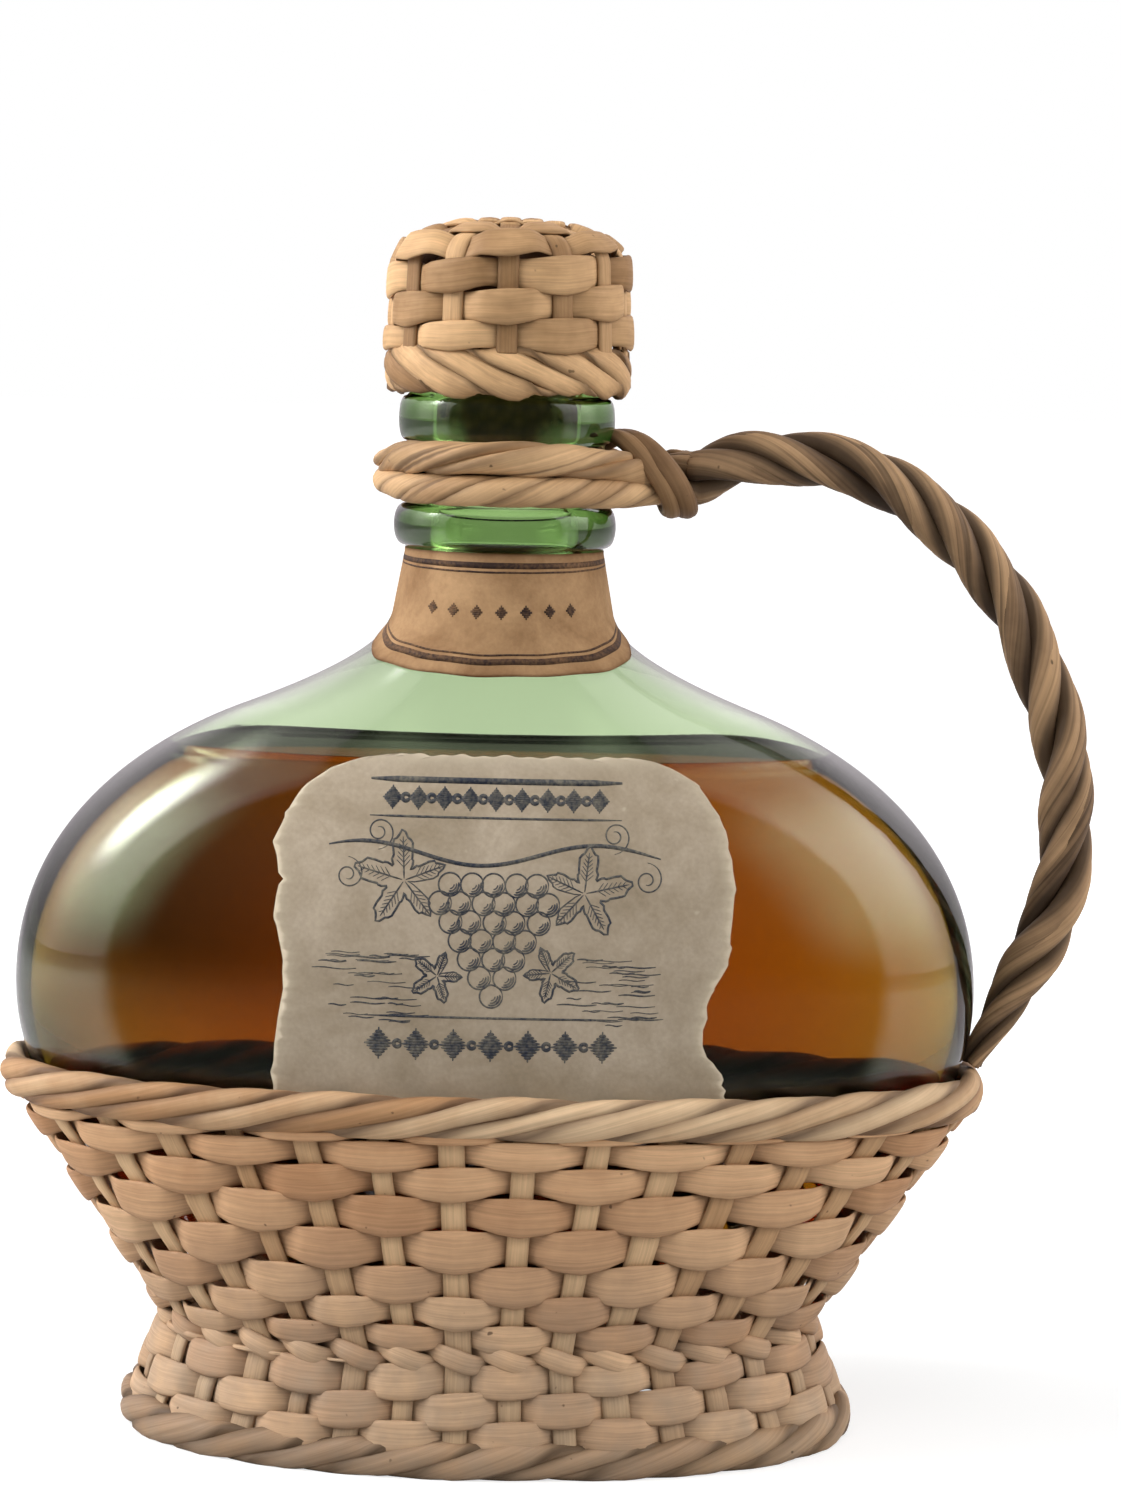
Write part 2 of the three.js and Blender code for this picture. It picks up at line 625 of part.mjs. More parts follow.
// Tie: a loop round both collar strands behind the eye
function makeTie() {
  const strand = EYE_SLIMNESS * COLLAR_STRAND_RADIUS + 2 * FIT_GAP + TIE_RADIUS;
  const halfY = COLLAR_EYE_RADIUS + strand + FIT_GAP;
  const halfZ = COLLAR_STRAND_STEP / 2 + strand;
  const x = COLLAR_REACH - COLLAR_EYE_RADIUS + TIE_RADIUS;
  const places = [];
  for (let i = 0; i < 12; i++) {
    const p = ovalPoint((2 * Math.PI * i) / 12, halfY, halfZ, 3, 0);
    const out = vec(0, p.x / halfY, p.y / halfZ).normalize();
    const point = vec(x, p.x, COLLAR_MIDDLE_Z + p.y);
    places.push({ point, out, up: vec(1, 0, 0), radius: TIE_RADIUS });
  }
  return makeCord(places, 6, true);
}

const RIM_HALF_WIDTH = rimSeat(wideHalf);
const RIM_HALF_DEPTH = rimSeat(deepHalf);

// Middle line of the handle: up from the collar's eye, over and down to the rim
function handleLine() {
  const tip = COLLAR_REACH + EYE_SLIMNESS * COLLAR_STRAND_RADIUS + HANDLE_SEAT;
  const start = vec(tip, 0, COLLAR_MIDDLE_Z);
  const far = vec(HANDLE_REACH, 0, BELLY_Z + HANDLE_FAR_RISE);
  const end = vec(RIM_HALF_WIDTH, 0, RIM_HEIGHT + RIM_HALF_HEIGHT + FIT_GAP);
  const across = far.x - start.x;
  const drop = start.z - far.z;
  const fall = far.z - end.z;
  const pull = HANDLE_PULLS;
  const line = new THREE.CurvePath();
  line.add(new THREE.CubicBezierCurve3(
    start,
    vec(start.x + pull.start * across, 0, start.z + HANDLE_ARCH),
    vec(far.x, 0, far.z + pull.top * drop),
    far,
  ));
  line.add(new THREE.CubicBezierCurve3(
    far,
    vec(far.x, 0, far.z - pull.bottom * fall),
    vec(THREE.MathUtils.lerp(end.x, far.x, pull.endAcross), 0, end.z + pull.endUp * fall),
    end,
  ));
  return line;
}

// One strand of the handle's rope, slimmer towards its lower tip
function makeHandleStrand(number) {
  const line = handleLine();
  const up = vec(0, 1, 0);
  const lay = Math.sin(Math.PI / HANDLE_STRANDS);
  const strandShare = lay / (1 + lay);
  const steps = Math.round(HANDLE_TURNS * STRAND_STEPS);
  const places = [];
  for (let i = 0; i <= steps; i++) {
    const t = i / steps;
    const point = line.getPointAt(t);
    const out = line.getTangentAt(t).cross(up);
    const slim = THREE.MathUtils.smoothstep(t, HANDLE_TIP_START, 1);
    const size = THREE.MathUtils.lerp(1, HANDLE_TIP, slim);
    const angle = 2 * Math.PI * (number / HANDLE_STRANDS - HANDLE_TURNS * t);
    const orbit = HANDLE_RADIUS * size * (1 - strandShare);
    point.addScaledVector(out, orbit * Math.cos(angle)).addScaledVector(up, orbit * Math.sin(angle));
    const radius = HANDLE_STRAND_FULLNESS * HANDLE_RADIUS * size * strandShare;
    places.push({ point, out, up, radius });
  }
  return makeCord(places, 5, false);
}

// Oval mat that the flask stands on, held inside the waist
function makeBaseMat() {
  const inset = STAKE_THICKNESS / 2 + SKEIN_THICKNESS + WEAVE_GAP + FIT_GAP;
  const ring = (z) => {
    const points = [];
    for (let j = 0; j < FLASK_SIDES; j++) {
      const angle = (2 * Math.PI * j) / FLASK_SIDES;
      points.push(ovalPoint(angle, WAIST_WIDTH / 2 - inset, WAIST_DEPTH / 2 - inset, FLASK_SQUARENESS, z));
    }
    return points;
  };
  return loft([ring(MAT_TOP - BASE_MAT_THICKNESS), ring(MAT_TOP)]);
}

// Cork: a tapered shank in the neck and a wider head inside the woven cap
const CAP_INSIDE = LIP_RADIUS + 2 * FIT_GAP;
const CAP_WALL = CAP_STAKE_THICKNESS / 2 + CAP_SKEIN_THICKNESS + WEAVE_GAP;
function makeCork() {
  const shank = BORE_RADIUS - FIT_GAP;
  const under = MOUTH_Z + FIT_GAP;
  const head = CAP_INSIDE - FIT_GAP;
  const top = under + CORK_HEAD_HEIGHT;
  const profile = [
    [0, MOUTH_Z - CORK_LENGTH],
    [shank - CORK_TAPER - CORK_BEVEL, MOUTH_Z - CORK_LENGTH],
    [shank - CORK_TAPER, MOUTH_Z - CORK_LENGTH + CORK_BEVEL],
    [shank, under],
    [head, under],
    [head, top - CAP_CORNER],
    [head - CAP_CORNER * 0.3, top - CAP_CORNER * 0.3],
    [head - CAP_CORNER, top],
    [0, top + CAP_DOME / 2],
  ];
  const outline = profile.map(([r, z]) => new THREE.Vector2(r, z));
  return new THREE.LatheGeometry(outline, 20).rotateX(Math.PI / 2);
}

// Middle surface of the woven cap. The level is the length along its side, round its upper corner and
// over its domed top towards the middle.
const CAP_RADIUS = CAP_INSIDE + CAP_WALL;
const CAP_BOTTOM_Z = MOUTH_Z - CAP_OVERLAP;
const CAP_TOP_Z = MOUTH_Z + FIT_GAP + CORK_HEAD_HEIGHT + CAP_WALL;
const CAP_SIDE = CAP_TOP_Z - CAP_CORNER - CAP_BOTTOM_Z;
const CAP_BEND = (Math.PI / 2) * CAP_CORNER;
const CAP_FLAT = CAP_RADIUS - CAP_CORNER;
function capPoint(angle, level) {
  let radius = CAP_RADIUS + CAP_SPREAD * Math.max(0, 1 - level / CAP_SIDE);
  let z = CAP_BOTTOM_Z + level;
  if (level > CAP_SIDE) {
    const bend = Math.min(level - CAP_SIDE, CAP_BEND) / CAP_CORNER;
    radius = CAP_FLAT + CAP_CORNER * Math.cos(bend);
    z = CAP_TOP_Z - CAP_CORNER * (1 - Math.sin(bend));
  }
  if (level > CAP_SIDE + CAP_BEND) {
    const inward = level - CAP_SIDE - CAP_BEND;
    radius = CAP_FLAT - inward;
    z = CAP_TOP_Z + CAP_DOME * (1 - ((CAP_FLAT - inward) / CAP_FLAT) ** 2);
  }
  return ovalPoint(angle, radius, radius, 2, z);
}

// One of the cap's stakes stands at the front, so its skein starts between two stakes at the back
const capAngles = equalAngles(capPoint, 1, CAP_STAKES, BACK + Math.PI / CAP_STAKES);
const CAP_BORDER_TOP = CAP_BORDER_HALF_HEIGHT * 2 + FIT_GAP;
const CAP_CROWN = CAP_SIDE + CAP_BEND + CAP_FLAT;

// Stakes of the cap, joined to the button in the middle of its top
function makeCapStakes() {
  const bends = [0.35, 0.7, 1].map((t) => CAP_SIDE + t * CAP_BEND);
  const inner = CAP_CROWN - CAP_BUTTON_RADIUS + CAP_STAKE_THICKNESS;
  const levels = [CAP_BORDER_TOP, CAP_SIDE, ...bends, inner];
  const buttonRing = (radius, lift) => capAngles.map((angle) => {
    const point = capPoint(angle + Math.PI / CAP_STAKES, CAP_CROWN - radius);
    point.z += lift;
    return point;
  });
  const thick = CAP_STAKE_THICKNESS;
  const lift = (CAP_BUTTON_FULLNESS * thick) / 2;
  const button = loft([
    buttonRing(CAP_BUTTON_EYE, -lift),
    buttonRing(CAP_BUTTON_RADIUS, -lift),
    buttonRing(CAP_BUTTON_RADIUS, lift),
    buttonRing(CAP_BUTTON_EYE, lift),
  ]);
  let joined = solidOf(button);
  for (const angle of capAngles) {
    joined = joined.add(solidOf(makeStake(capPoint, angle, levels, CAP_STAKE_WIDTH, thick)));
  }
  return geometryOf(joined);
}

// Skein woven round the side of the cap, or over its top
function makeCapSkein(rounds, low, high) {
  return makeSkein({
    surface: capPoint,
    angles: capAngles,
    rounds,
    edgeAt: (turn) => skeinEdge(turn, low, high, rounds, 0),
    stakeWidth: CAP_STAKE_WIDTH,
    stakeThickness: CAP_STAKE_THICKNESS,
    thickness: CAP_SKEIN_THICKNESS,
  });
}

// Takes off what lies below the floor, so that the part stands on flats. Corners close to the floor
// are set a little under it, so that the cut leaves no slivers.
const FLOOR_SNAP = 0.06;
function cutAtFloor(geometry) {
  const corners = geometry.getAttribute('position');
  for (let i = 0; i < corners.count; i++) {
    if (Math.abs(corners.getZ(i)) < FLOOR_SNAP) corners.setZ(i, -FLOOR_SNAP);
  }
  const floor = new THREE.BoxGeometry(4 * FOOT_WIDTH, 4 * FOOT_DEPTH, 40).translate(0, 0, -20);
  return geometryOf(solidOf(geometry).subtract(solidOf(floor)));
}

// Materials
const material = (color, roughness, options = {}) => (
  new THREE.MeshStandardMaterial({ color, roughness, metalness: 0, ...options })
);
const greenGlass = material('#7fa56c', 0.08, { transparent: true, opacity: 0.45 });
const amberWine = material('#7a3f12', 0.1, { transparent: true, opacity: 0.85 });
const parchment = material('#c0b39a', 0.85);
const brownPaper = material('#b98a57', 0.85);
const paleWillow = material('#c2a071', 0.7);
const creamWillow = material('#d3b686', 0.7);
const greyWillow = material('#a98f72', 0.75);
const goldRush = material('#c79d66', 0.75);
const brownRush = material('#8a6b48', 0.8);
const capWillow = material('#c39a63', 0.72);
const naturalCork = material('#a97e52', 0.9);

const flask = new THREE.Group();
flask.name = 'wicker_flask';
function addGroup(name) {
  const group = new THREE.Group();
  group.name = name;
  flask.add(group);
  return group;
}
function addMesh(group, name, geometry, look) {
  const mesh = new THREE.Mesh(geometry, look.clone());
  mesh.name = name;
  group.add(mesh);
}

// Bottle with its wine and labels
const bottle = addGroup('bottle');
addMesh(bottle, 'glass_flask', makeFlask(), greenGlass);
addMesh(bottle, 'wine', makeWine(), amberWine);
addMesh(bottle, 'front_label', makeFrontLabel(), parchment);
addMesh(bottle, 'neck_label', makeNeckLabel(), brownPaper);

// Basket
const basket = addGroup('basket');
const stakeAngles = equalAngles(basketPoint, (WAIST_HEIGHT + RIM_HEIGHT) / 2, STAKE_COUNT);
const STAKE_FOOT_Z = FOOT_CENTRE_Z + FOOT_HALF_HEIGHT + FIT_GAP;
const STAKE_TOP_Z = RIM_HEIGHT - RIM_HALF_HEIGHT - FIT_GAP;
stakeAngles.forEach((angle, i) => {
  const name = `stake_${String(i + 1).padStart(2, '0')}`;
  const levels = [STAKE_FOOT_Z, WAIST_HEIGHT, STAKE_TOP_Z];
  addMesh(basket, name, makeStake(basketPoint, angle, levels, STAKE_WIDTH, STAKE_THICKNESS), paleWillow);
});
const wallWeave = {
  surface: basketPoint,
  angles: stakeAngles,
  stakeWidth: STAKE_WIDTH,
  stakeThickness: STAKE_THICKNESS,
  thickness: SKEIN_THICKNESS,
};

const waistReach = WAIST_STRAND_HEIGHT + FIT_GAP / 2 + FIT_GAP;
const bodyLow = WAIST_HEIGHT + waistReach;
addMesh(basket, 'body_weaver', makeSkein({
  ...wallWeave,
  rounds: BODY_ROUNDS,
  edgeAt: (turn) => skeinEdge(turn, bodyLow, STAKE_TOP_Z, BODY_CLIMB, BODY_SWING),
}), paleWillow);
const footLow = STAKE_FOOT_Z + FIT_GAP;
const footHigh = WAIST_HEIGHT - waistReach - 2 * FIT_GAP;
addMesh(basket, 'foot_weaver', makeSkein({
  ...wallWeave,
  rounds: FOOT_ROUNDS,
  edgeAt: (turn) => skeinEdge(turn, footLow, footHigh, FOOT_CLIMB, 0),
}), greyWillow);
for (const number of [1, 2]) {
  addMesh(basket, `waist_strand_${number}`, makeTwinedStrand(stakeAngles, number), paleWillow);
}
const power = FLASK_SQUARENESS;
const rimBorder = {
  places: borderPlaces(RIM_HALF_WIDTH, RIM_HALF_DEPTH, power, RIM_HEIGHT, RIM_PASSES, RIM_BANDS),
  passes: RIM_PASSES,
  bands: RIM_BANDS,
  isRising: true,
  halfThickness: BORDER_HALF_THICKNESS,
  halfHeight: RIM_HALF_HEIGHT,
};
const footBorder = {
  places: borderPlaces(FOOT_WIDTH / 2, FOOT_DEPTH / 2, power, FOOT_CENTRE_Z, FOOT_PASSES, FOOT_BANDS),
  passes: FOOT_PASSES,
  bands: FOOT_BANDS,
  isRising: true,
  halfThickness: BORDER_HALF_THICKNESS,
  halfHeight: FOOT_HALF_HEIGHT,
};
for (const number of [1, 2]) {
  addMesh(basket, `rim_strand_${number}`, makeRolledStrand(rimBorder, number), creamWillow);
  const footStrand = makeRolledStrand(footBorder, number);
  addMesh(basket, `foot_strand_${number}`, cutAtFloor(footStrand), greyWillow);
}
addMesh(basket, 'base_mat', makeBaseMat(), greyWillow);

// Collar, tie and handle
const carrier = addGroup('carrier');
addMesh(carrier, 'collar_lower', makeCollarStrand(COLLAR_LOW_Z), goldRush);
addMesh(carrier, 'collar_upper', makeCollarStrand(COLLAR_HIGH_Z), goldRush);
addMesh(carrier, 'handle_tie', makeTie(), brownRush);
for (let number = 1; number <= HANDLE_STRANDS; number++) {
  addMesh(carrier, `handle_strand_${number}`, makeHandleStrand(number), brownRush);
}

// Stopper
const stopper = addGroup('stopper');
addMesh(stopper, 'cork', makeCork(), naturalCork);
addMesh(stopper, 'cap_stakes', makeCapStakes(), capWillow);
const capLow = CAP_BORDER_TOP + FIT_GAP;
const capTopLow = CAP_SIDE + CAP_BEND;
const capTopHigh = CAP_CROWN - CAP_BUTTON_RADIUS - FIT_GAP;
addMesh(stopper, 'cap_weaver', makeCapSkein(CAP_ROUNDS, capLow, capTopLow), capWillow);
const capTop = makeCapSkein(CAP_TOP_ROUNDS, capTopLow + 2 * FIT_GAP, capTopHigh);
addMesh(stopper, 'cap_top_weaver', capTop, capWillow);
const capBorderRadius = CAP_INSIDE + CAP_BORDER_HALF_THICKNESS;
const capBorderZ = CAP_BOTTOM_Z + CAP_BORDER_HALF_HEIGHT;
const [capPasses, capBands] = [CAP_BORDER_PASSES, CAP_BORDER_BANDS];
const capBorder = {
  places: borderPlaces(capBorderRadius, capBorderRadius, 2, capBorderZ, capPasses, capBands),
  passes: capPasses,
  bands: capBands,
  isRising: false,
  halfThickness: CAP_BORDER_HALF_THICKNESS,
  halfHeight: CAP_BORDER_HALF_HEIGHT,
};
for (const number of [1, 2]) {
  addMesh(stopper, `cap_border_${number}`, makeRolledStrand(capBorder, number), capWillow);
}

// The origin is under the middle of the whole part
const bounds = new THREE.Box3().setFromObject(flask);
const middle = bounds.getCenter(vec(0, 0, 0));
for (const group of flask.children) group.position.set(-middle.x, -middle.y, -bounds.min.z);

export default flask;
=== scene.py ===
"""Looks of the wicker flask: green glass and wine, woven willow, rush rope, aged paper and cork."""

import logging
import math
from collections.abc import Callable, Sequence
from dataclasses import dataclass, field
from enum import Enum

import bmesh
import bpy
import numpy as np
from mathutils import Euler, Matrix, Vector


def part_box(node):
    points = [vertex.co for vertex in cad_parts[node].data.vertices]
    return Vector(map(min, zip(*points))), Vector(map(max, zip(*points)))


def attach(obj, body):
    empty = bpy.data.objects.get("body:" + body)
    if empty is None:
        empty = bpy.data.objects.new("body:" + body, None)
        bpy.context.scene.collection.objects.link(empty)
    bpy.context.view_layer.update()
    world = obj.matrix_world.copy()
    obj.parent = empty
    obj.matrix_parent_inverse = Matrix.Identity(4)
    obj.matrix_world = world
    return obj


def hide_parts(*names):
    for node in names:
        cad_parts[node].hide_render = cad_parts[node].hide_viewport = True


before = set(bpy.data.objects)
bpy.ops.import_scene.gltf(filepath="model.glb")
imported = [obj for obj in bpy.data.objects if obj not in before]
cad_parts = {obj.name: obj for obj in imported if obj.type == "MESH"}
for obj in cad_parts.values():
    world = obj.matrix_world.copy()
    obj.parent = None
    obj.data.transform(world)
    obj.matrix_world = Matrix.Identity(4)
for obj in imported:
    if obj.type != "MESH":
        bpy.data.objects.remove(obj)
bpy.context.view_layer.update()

log = logging.getLogger("wicker_flask")

MM = 0.001  # millimetres to metres
TURN = 2 * math.pi
FRONT = -math.pi / 2  # angle of the labelled side, seen from above
BACK = math.pi / 2
UPRIGHT = np.array([0.0, 0.0, 1.0])
WHITE = (1, 1, 1, 1)

# Node settings that repeat
SMOOTH = {"interpolation_type": "SMOOTHSTEP"}
MULTIPLY = {"operation": "MULTIPLY"}
COLOUR = {"data_type": "RGBA"}

Surface = Callable[[np.ndarray, np.ndarray], np.ndarray]
Lines = list[tuple[np.ndarray, float]]  # points of each printed line, and its width


class Body(Enum):
    """The two bodies that pieces ride on."""

    FLASK = "flask"
    STOPPER = "stopper"


class Slot(Enum):
    """Material slots of the record."""

    GLASS = "green_glass"
    WINE = "amber_wine"
    PARCHMENT = "parchment"
    BROWN_PAPER = "brown_paper"
    PALE_WILLOW = "pale_willow"
    CREAM_WILLOW = "cream_willow"
    GREY_WILLOW = "grey_willow"
    CAP_WILLOW = "cap_willow"
    GOLD_RUSH = "gold_rush"
    BROWN_RUSH = "brown_rush"
    CORK = "natural_cork"


# Small helpers


def linear(colour: str) -> tuple[float, float, float, float]:
    """Linear light, with an alpha of 1, for an sRGB hex colour."""
    parts = [int(colour[i : i + 2], 16) / 255 for i in (1, 3, 5)]
    return (*(c / 12.92 if c <= 0.04045 else ((c + 0.055) / 1.055) ** 2.4 for c in parts), 1.0)


def add(tree: bpy.types.NodeTree, kind: str, inputs: dict | Sequence = (), **settings: object) -> bpy.types.Node:
    """Adds a node to a tree.

    Args:
        tree: the node tree.
        kind: the node's class name after ShaderNode.
        inputs: what its sockets take, in order or by name or number: a value, a socket, or a node, which gives
            its first output in use.
        settings: the node's own properties.

    Returns:
        The new node.
    """
    node = tree.nodes.new(f"ShaderNode{kind}")
    for name, value in settings.items():
        setattr(node, name, value)
    for key, value in (inputs if isinstance(inputs, dict) else dict(enumerate(inputs))).items():
        if isinstance(value, bpy.types.Node):
            value = next(socket for socket in value.outputs if socket.enabled)
        if isinstance(value, bpy.types.NodeSocket):
            tree.links.new(value, node.inputs[key])
        else:
            node.inputs[key].default_value = value
    return node


def new_material(name: str) -> tuple[bpy.types.Material, bpy.types.NodeTree]:
    """Makes an empty node material.

    Args:
        name: the material's name.

    Returns:
        The material and its node tree.
    """
    material = bpy.data.materials.new(name)
    material.use_nodes = True
    material.node_tree.nodes.clear()
    return material, material.node_tree


def smooth(low: float, high: float, x: np.ndarray) -> np.ndarray:
    """Smooth step from 0 at low to 1 at high."""
    t = np.clip((np.asarray(x, float) - low) / (high - low), 0, 1)
    return t * t * (3 - 2 * t)


def unit(vectors: np.ndarray) -> np.ndarray:
    """Vectors scaled to a length of 1."""
    return vectors / np.maximum(np.linalg.norm(vectors, axis=-1, keepdims=True), 1e-12)


def dot(a: np.ndarray, b: np.ndarray) -> np.ndarray:
    """Dot products of rows, as a column."""
    return np.sum(a * b, axis=-1, keepdims=True)


def circle(x: float, z: float, radius: float, angle: np.ndarray) -> np.ndarray:
    """Points of a flat circle at the angles."""
    return np.stack([x + radius * np.cos(angle), z + radius * np.sin(angle)], -1)


def rule(middle: float, half: float, z: float, count: int) -> np.ndarray:
    """Points of a flat level line."""
    return np.stack([np.linspace(middle - half, middle + half, count), np.full(count, z)], -1)


def directions(surface: Surface, angle: np.ndarray, level: np.ndarray) -> tuple[np.ndarray, ...]:
    """Places and directions on a surface.

    Args:
        surface: gives points for angles and levels.
        angle: angles round the middle.
        level: levels on the surface.

    Returns:
        Points, and unit vectors around, up along and straight out of the surface.
    """
    step = 1e-3
    around = unit(surface(angle + step, level) - surface(angle - step, level))
    rise = unit(surface(angle, level + step) - surface(angle, level - step))
    out = unit(np.cross(around, rise))
    return surface(angle, level), around, np.cross(out, around), out


def oval(angle: np.ndarray, half_width: np.ndarray, half_depth: np.ndarray, power: np.ndarray,
         z: np.ndarray) -> np.ndarray:
    """Points on an oval that is squarer than an ellipse where its power is over 2.

    Args:
        angle: angles round the middle.
        half_width: half size along X.
        half_depth: half size along Y.
        power: power of the oval.
        z: heights.

    Returns:
        Points, one a row.
    """
    c, s = np.cos(angle), np.sin(angle)
    reach = (np.abs(c) ** power + np.abs(s) ** power) ** (-1 / power)
    return np.stack(np.broadcast_arrays(half_width * reach * c, half_depth * reach * s, z), -1)


def lengths(line: np.ndarray) -> np.ndarray:
    """Length along a line from its start to each point."""
    return np.concatenate([[0], np.cumsum(np.linalg.norm(np.diff(line, axis=0), axis=1))])


def evenly(line: np.ndarray, count: int, has_end: bool = True) -> np.ndarray:
    """Points in equal steps along a line.

    Args:
        line: the line's points.
        count: how many points to make.
        has_end: whether the line's end is one of them.

    Returns:
        The new points.
    """
    length = lengths(line)
    at = np.linspace(0, length[-1], count, endpoint=has_end)
    return np.stack([np.interp(at, length, column) for column in line.T], -1)


def equal_angles(surface: Surface, level: float, count: int) -> np.ndarray:
    """Angles that divide an oval into equal lengths.

    Args:
        surface: the surface.
        level: the oval's level on it.
        count: how many angles.

    Returns:
        The angles, rising from the back.
    """
    angle = BACK + np.linspace(0, TURN, 4001)
    length = lengths(surface(angle, level))
    return np.interp(np.arange(count) / count * length[-1], length, angle)


def curve(corners: Sequence[Sequence[float]], count: int) -> np.ndarray:
    """Smooth path near corner points, evenly stepped.

    Args:
        corners: the corner points.
        count: how many points to make.

    Returns:
        The path's points.
    """
    line = np.asarray(corners, float)
    for _ in range(5):
        cut = np.stack([0.75 * line[:-1] + 0.25 * line[1:], 0.25 * line[:-1] + 0.75 * line[1:]], 1).reshape(-1, 3)
        line = np.concatenate([line[:1], cut, line[-1:]])
    return evenly(line, count)


def along_path(centre: np.ndarray, is_loop: bool = False) -> tuple[np.ndarray, np.ndarray]:
    """Directions and lengths along a path.

    Args:
        centre: the path's points.
        is_loop: whether the path closes on itself.

    Returns:
        Unit tangents, and the length from the start to each point.
    """
    if is_loop:
        return unit(np.roll(centre, -1, 0) - np.roll(centre, 1, 0)), lengths(centre)
    return unit(np.gradient(centre, axis=0)), lengths(centre)


def lay(centre: np.ndarray, wide: np.ndarray, out: np.ndarray) -> tuple[np.ndarray, np.ndarray, np.ndarray]:
    """Lays a flat strip along a path.

    Args:
        centre: the path's points.
        wide: directions that the strip's width leans towards.
        out: directions that its face looks towards.

    Returns:
        Directions across the strip and out of its face, and the length along it.
    """
    tangent, along = along_path(centre)
    side = unit(wide - tangent * dot(wide, tangent))
    normal = np.cross(tangent, side)
    return side, normal * np.sign(dot(normal, out)), along


def wind(line: np.ndarray, out: np.ndarray, up: np.ndarray, phase: np.ndarray, reach: np.ndarray,
         is_loop: bool) -> tuple[np.ndarray, np.ndarray, np.ndarray]:
    """Winds a strand round a line.

    Args:
        line: the line's points.
        out: directions from the line to the strand where the phase is 0.
        up: those a quarter turn further.
        phase: how far the strand has turned at each point, in radians.
        reach: its distance from the line at each point.
        is_loop: whether the line closes on itself.

    Returns:
        The strand's points, and directions across it and out of its face.
    """
    radial = out * np.cos(phase)[:, None] + up * np.sin(phase)[:, None]
    centre = line + radial * reach[:, None]
    tangent, _ = along_path(centre, is_loop)
    side = unit(np.cross(radial, tangent))
    return centre, side, np.cross(tangent, side)


@dataclass
class StripMesh:
    """Lofted strips of one piece, with the coordinates that its finish reads.

    The point attribute grain holds the length along the strip and the distance across it in metres, and the
    strip's tone from 0 to 1. The point attribute shade is painted shade on woven strips: high where a strip is
    tucked in behind others, at its edges and in dark cores. On paper it is high near the torn edge.
    """

    origin: np.ndarray  # middle of the flask in the part's frame, in millimetres
    points: list[np.ndarray] = field(default_factory=list)
    faces: list[tuple[int, ...]] = field(default_factory=list)
    grain: list[np.ndarray] = field(default_factory=list)
    shade: list[np.ndarray] = field(default_factory=list)
    count: int = 0

    def loft(self, rings: np.ndarray, along: np.ndarray = 0.0, across: np.ndarray = 0.0, tone: np.ndarray = 0.0,
             shade: np.ndarray = 0.0, is_loop: bool = False) -> None:
        """Adds a strip lofted through closed rings of points.

        Args:
            rings: points in millimetres, by ring and place in the ring.
            along: length along the strip at each ring.
            across: distance across the strip, by place or by ring and place.
            tone: tone at each ring.
            shade: shade by ring and place, or by ring.
            is_loop: whether the last ring joins the first.
        """
        n, m = shape = rings.shape[:2]
        along, tone = (np.broadcast_to(np.reshape(v, (-1, 1)), shape) for v in (along, tone))
        shade = np.broadcast_to(shade if np.ndim(shade) == 2 else np.reshape(shade, (-1, 1)), shape)
        self.points.append(rings.reshape(-1, 3))
        self.grain.append(np.stack([along * MM, np.broadcast_to(across, shape) * MM, tone], -1).reshape(-1, 3))
        self.shade.append(shade.reshape(-1))
        first = self.count
        for i in range(n if is_loop else n - 1):
            here, there = first + i * m, first + (i + 1) % n * m
            for j in range(m):
                k = (j + 1) % m
                self.faces.append((here + j, here + k, there + k, there + j))
        if not is_loop:
            self.faces.append(tuple(range(first, first + m)))
            self.faces.append(tuple(range(first + (n - 1) * m, first + n * m)))
        self.count += n * m

    def build(self, name: str, material: bpy.types.Material, body: Body, slot: Slot, *nodes: str) -> None:
        """Makes the piece, puts it on its body and reports it.

        Args:
            name: the piece's name.
            material: its finish.
            body: the body that it rides on.
            slot: the record's material slot; not used.
            nodes: the CAD nodes that it stands for.
        """
        mesh = bpy.data.meshes.new(name)
        mesh.from_pydata(((np.concatenate(self.points) + self.origin) * MM).tolist(), [], self.faces)
        grain = mesh.attributes.new("grain", "FLOAT_VECTOR", "POINT")
        grain.data.foreach_set("vector", np.concatenate(self.grain).astype(np.float32).ravel())
        shade = mesh.attributes.new("shade", "FLOAT", "POINT")
        shade.data.foreach_set("value", np.concatenate(self.shade).astype(np.float32))
        edit = bmesh.new()
        edit.from_mesh(mesh)
        bmesh.ops.recalc_face_normals(edit, faces=edit.faces)
        edit.to_mesh(mesh)
        edit.free()
        mesh.polygons.foreach_set("use_smooth", [True] * len(mesh.polygons))
        mesh.materials.append(material)
        piece = bpy.data.objects.new(name, mesh)
        bpy.context.scene.collection.objects.link(piece)
        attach(piece, body.value)
        if nodes:
            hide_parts(*nodes)
        log.info("%s on %s: %d faces", piece.name, body.value, len(piece.data.polygons))


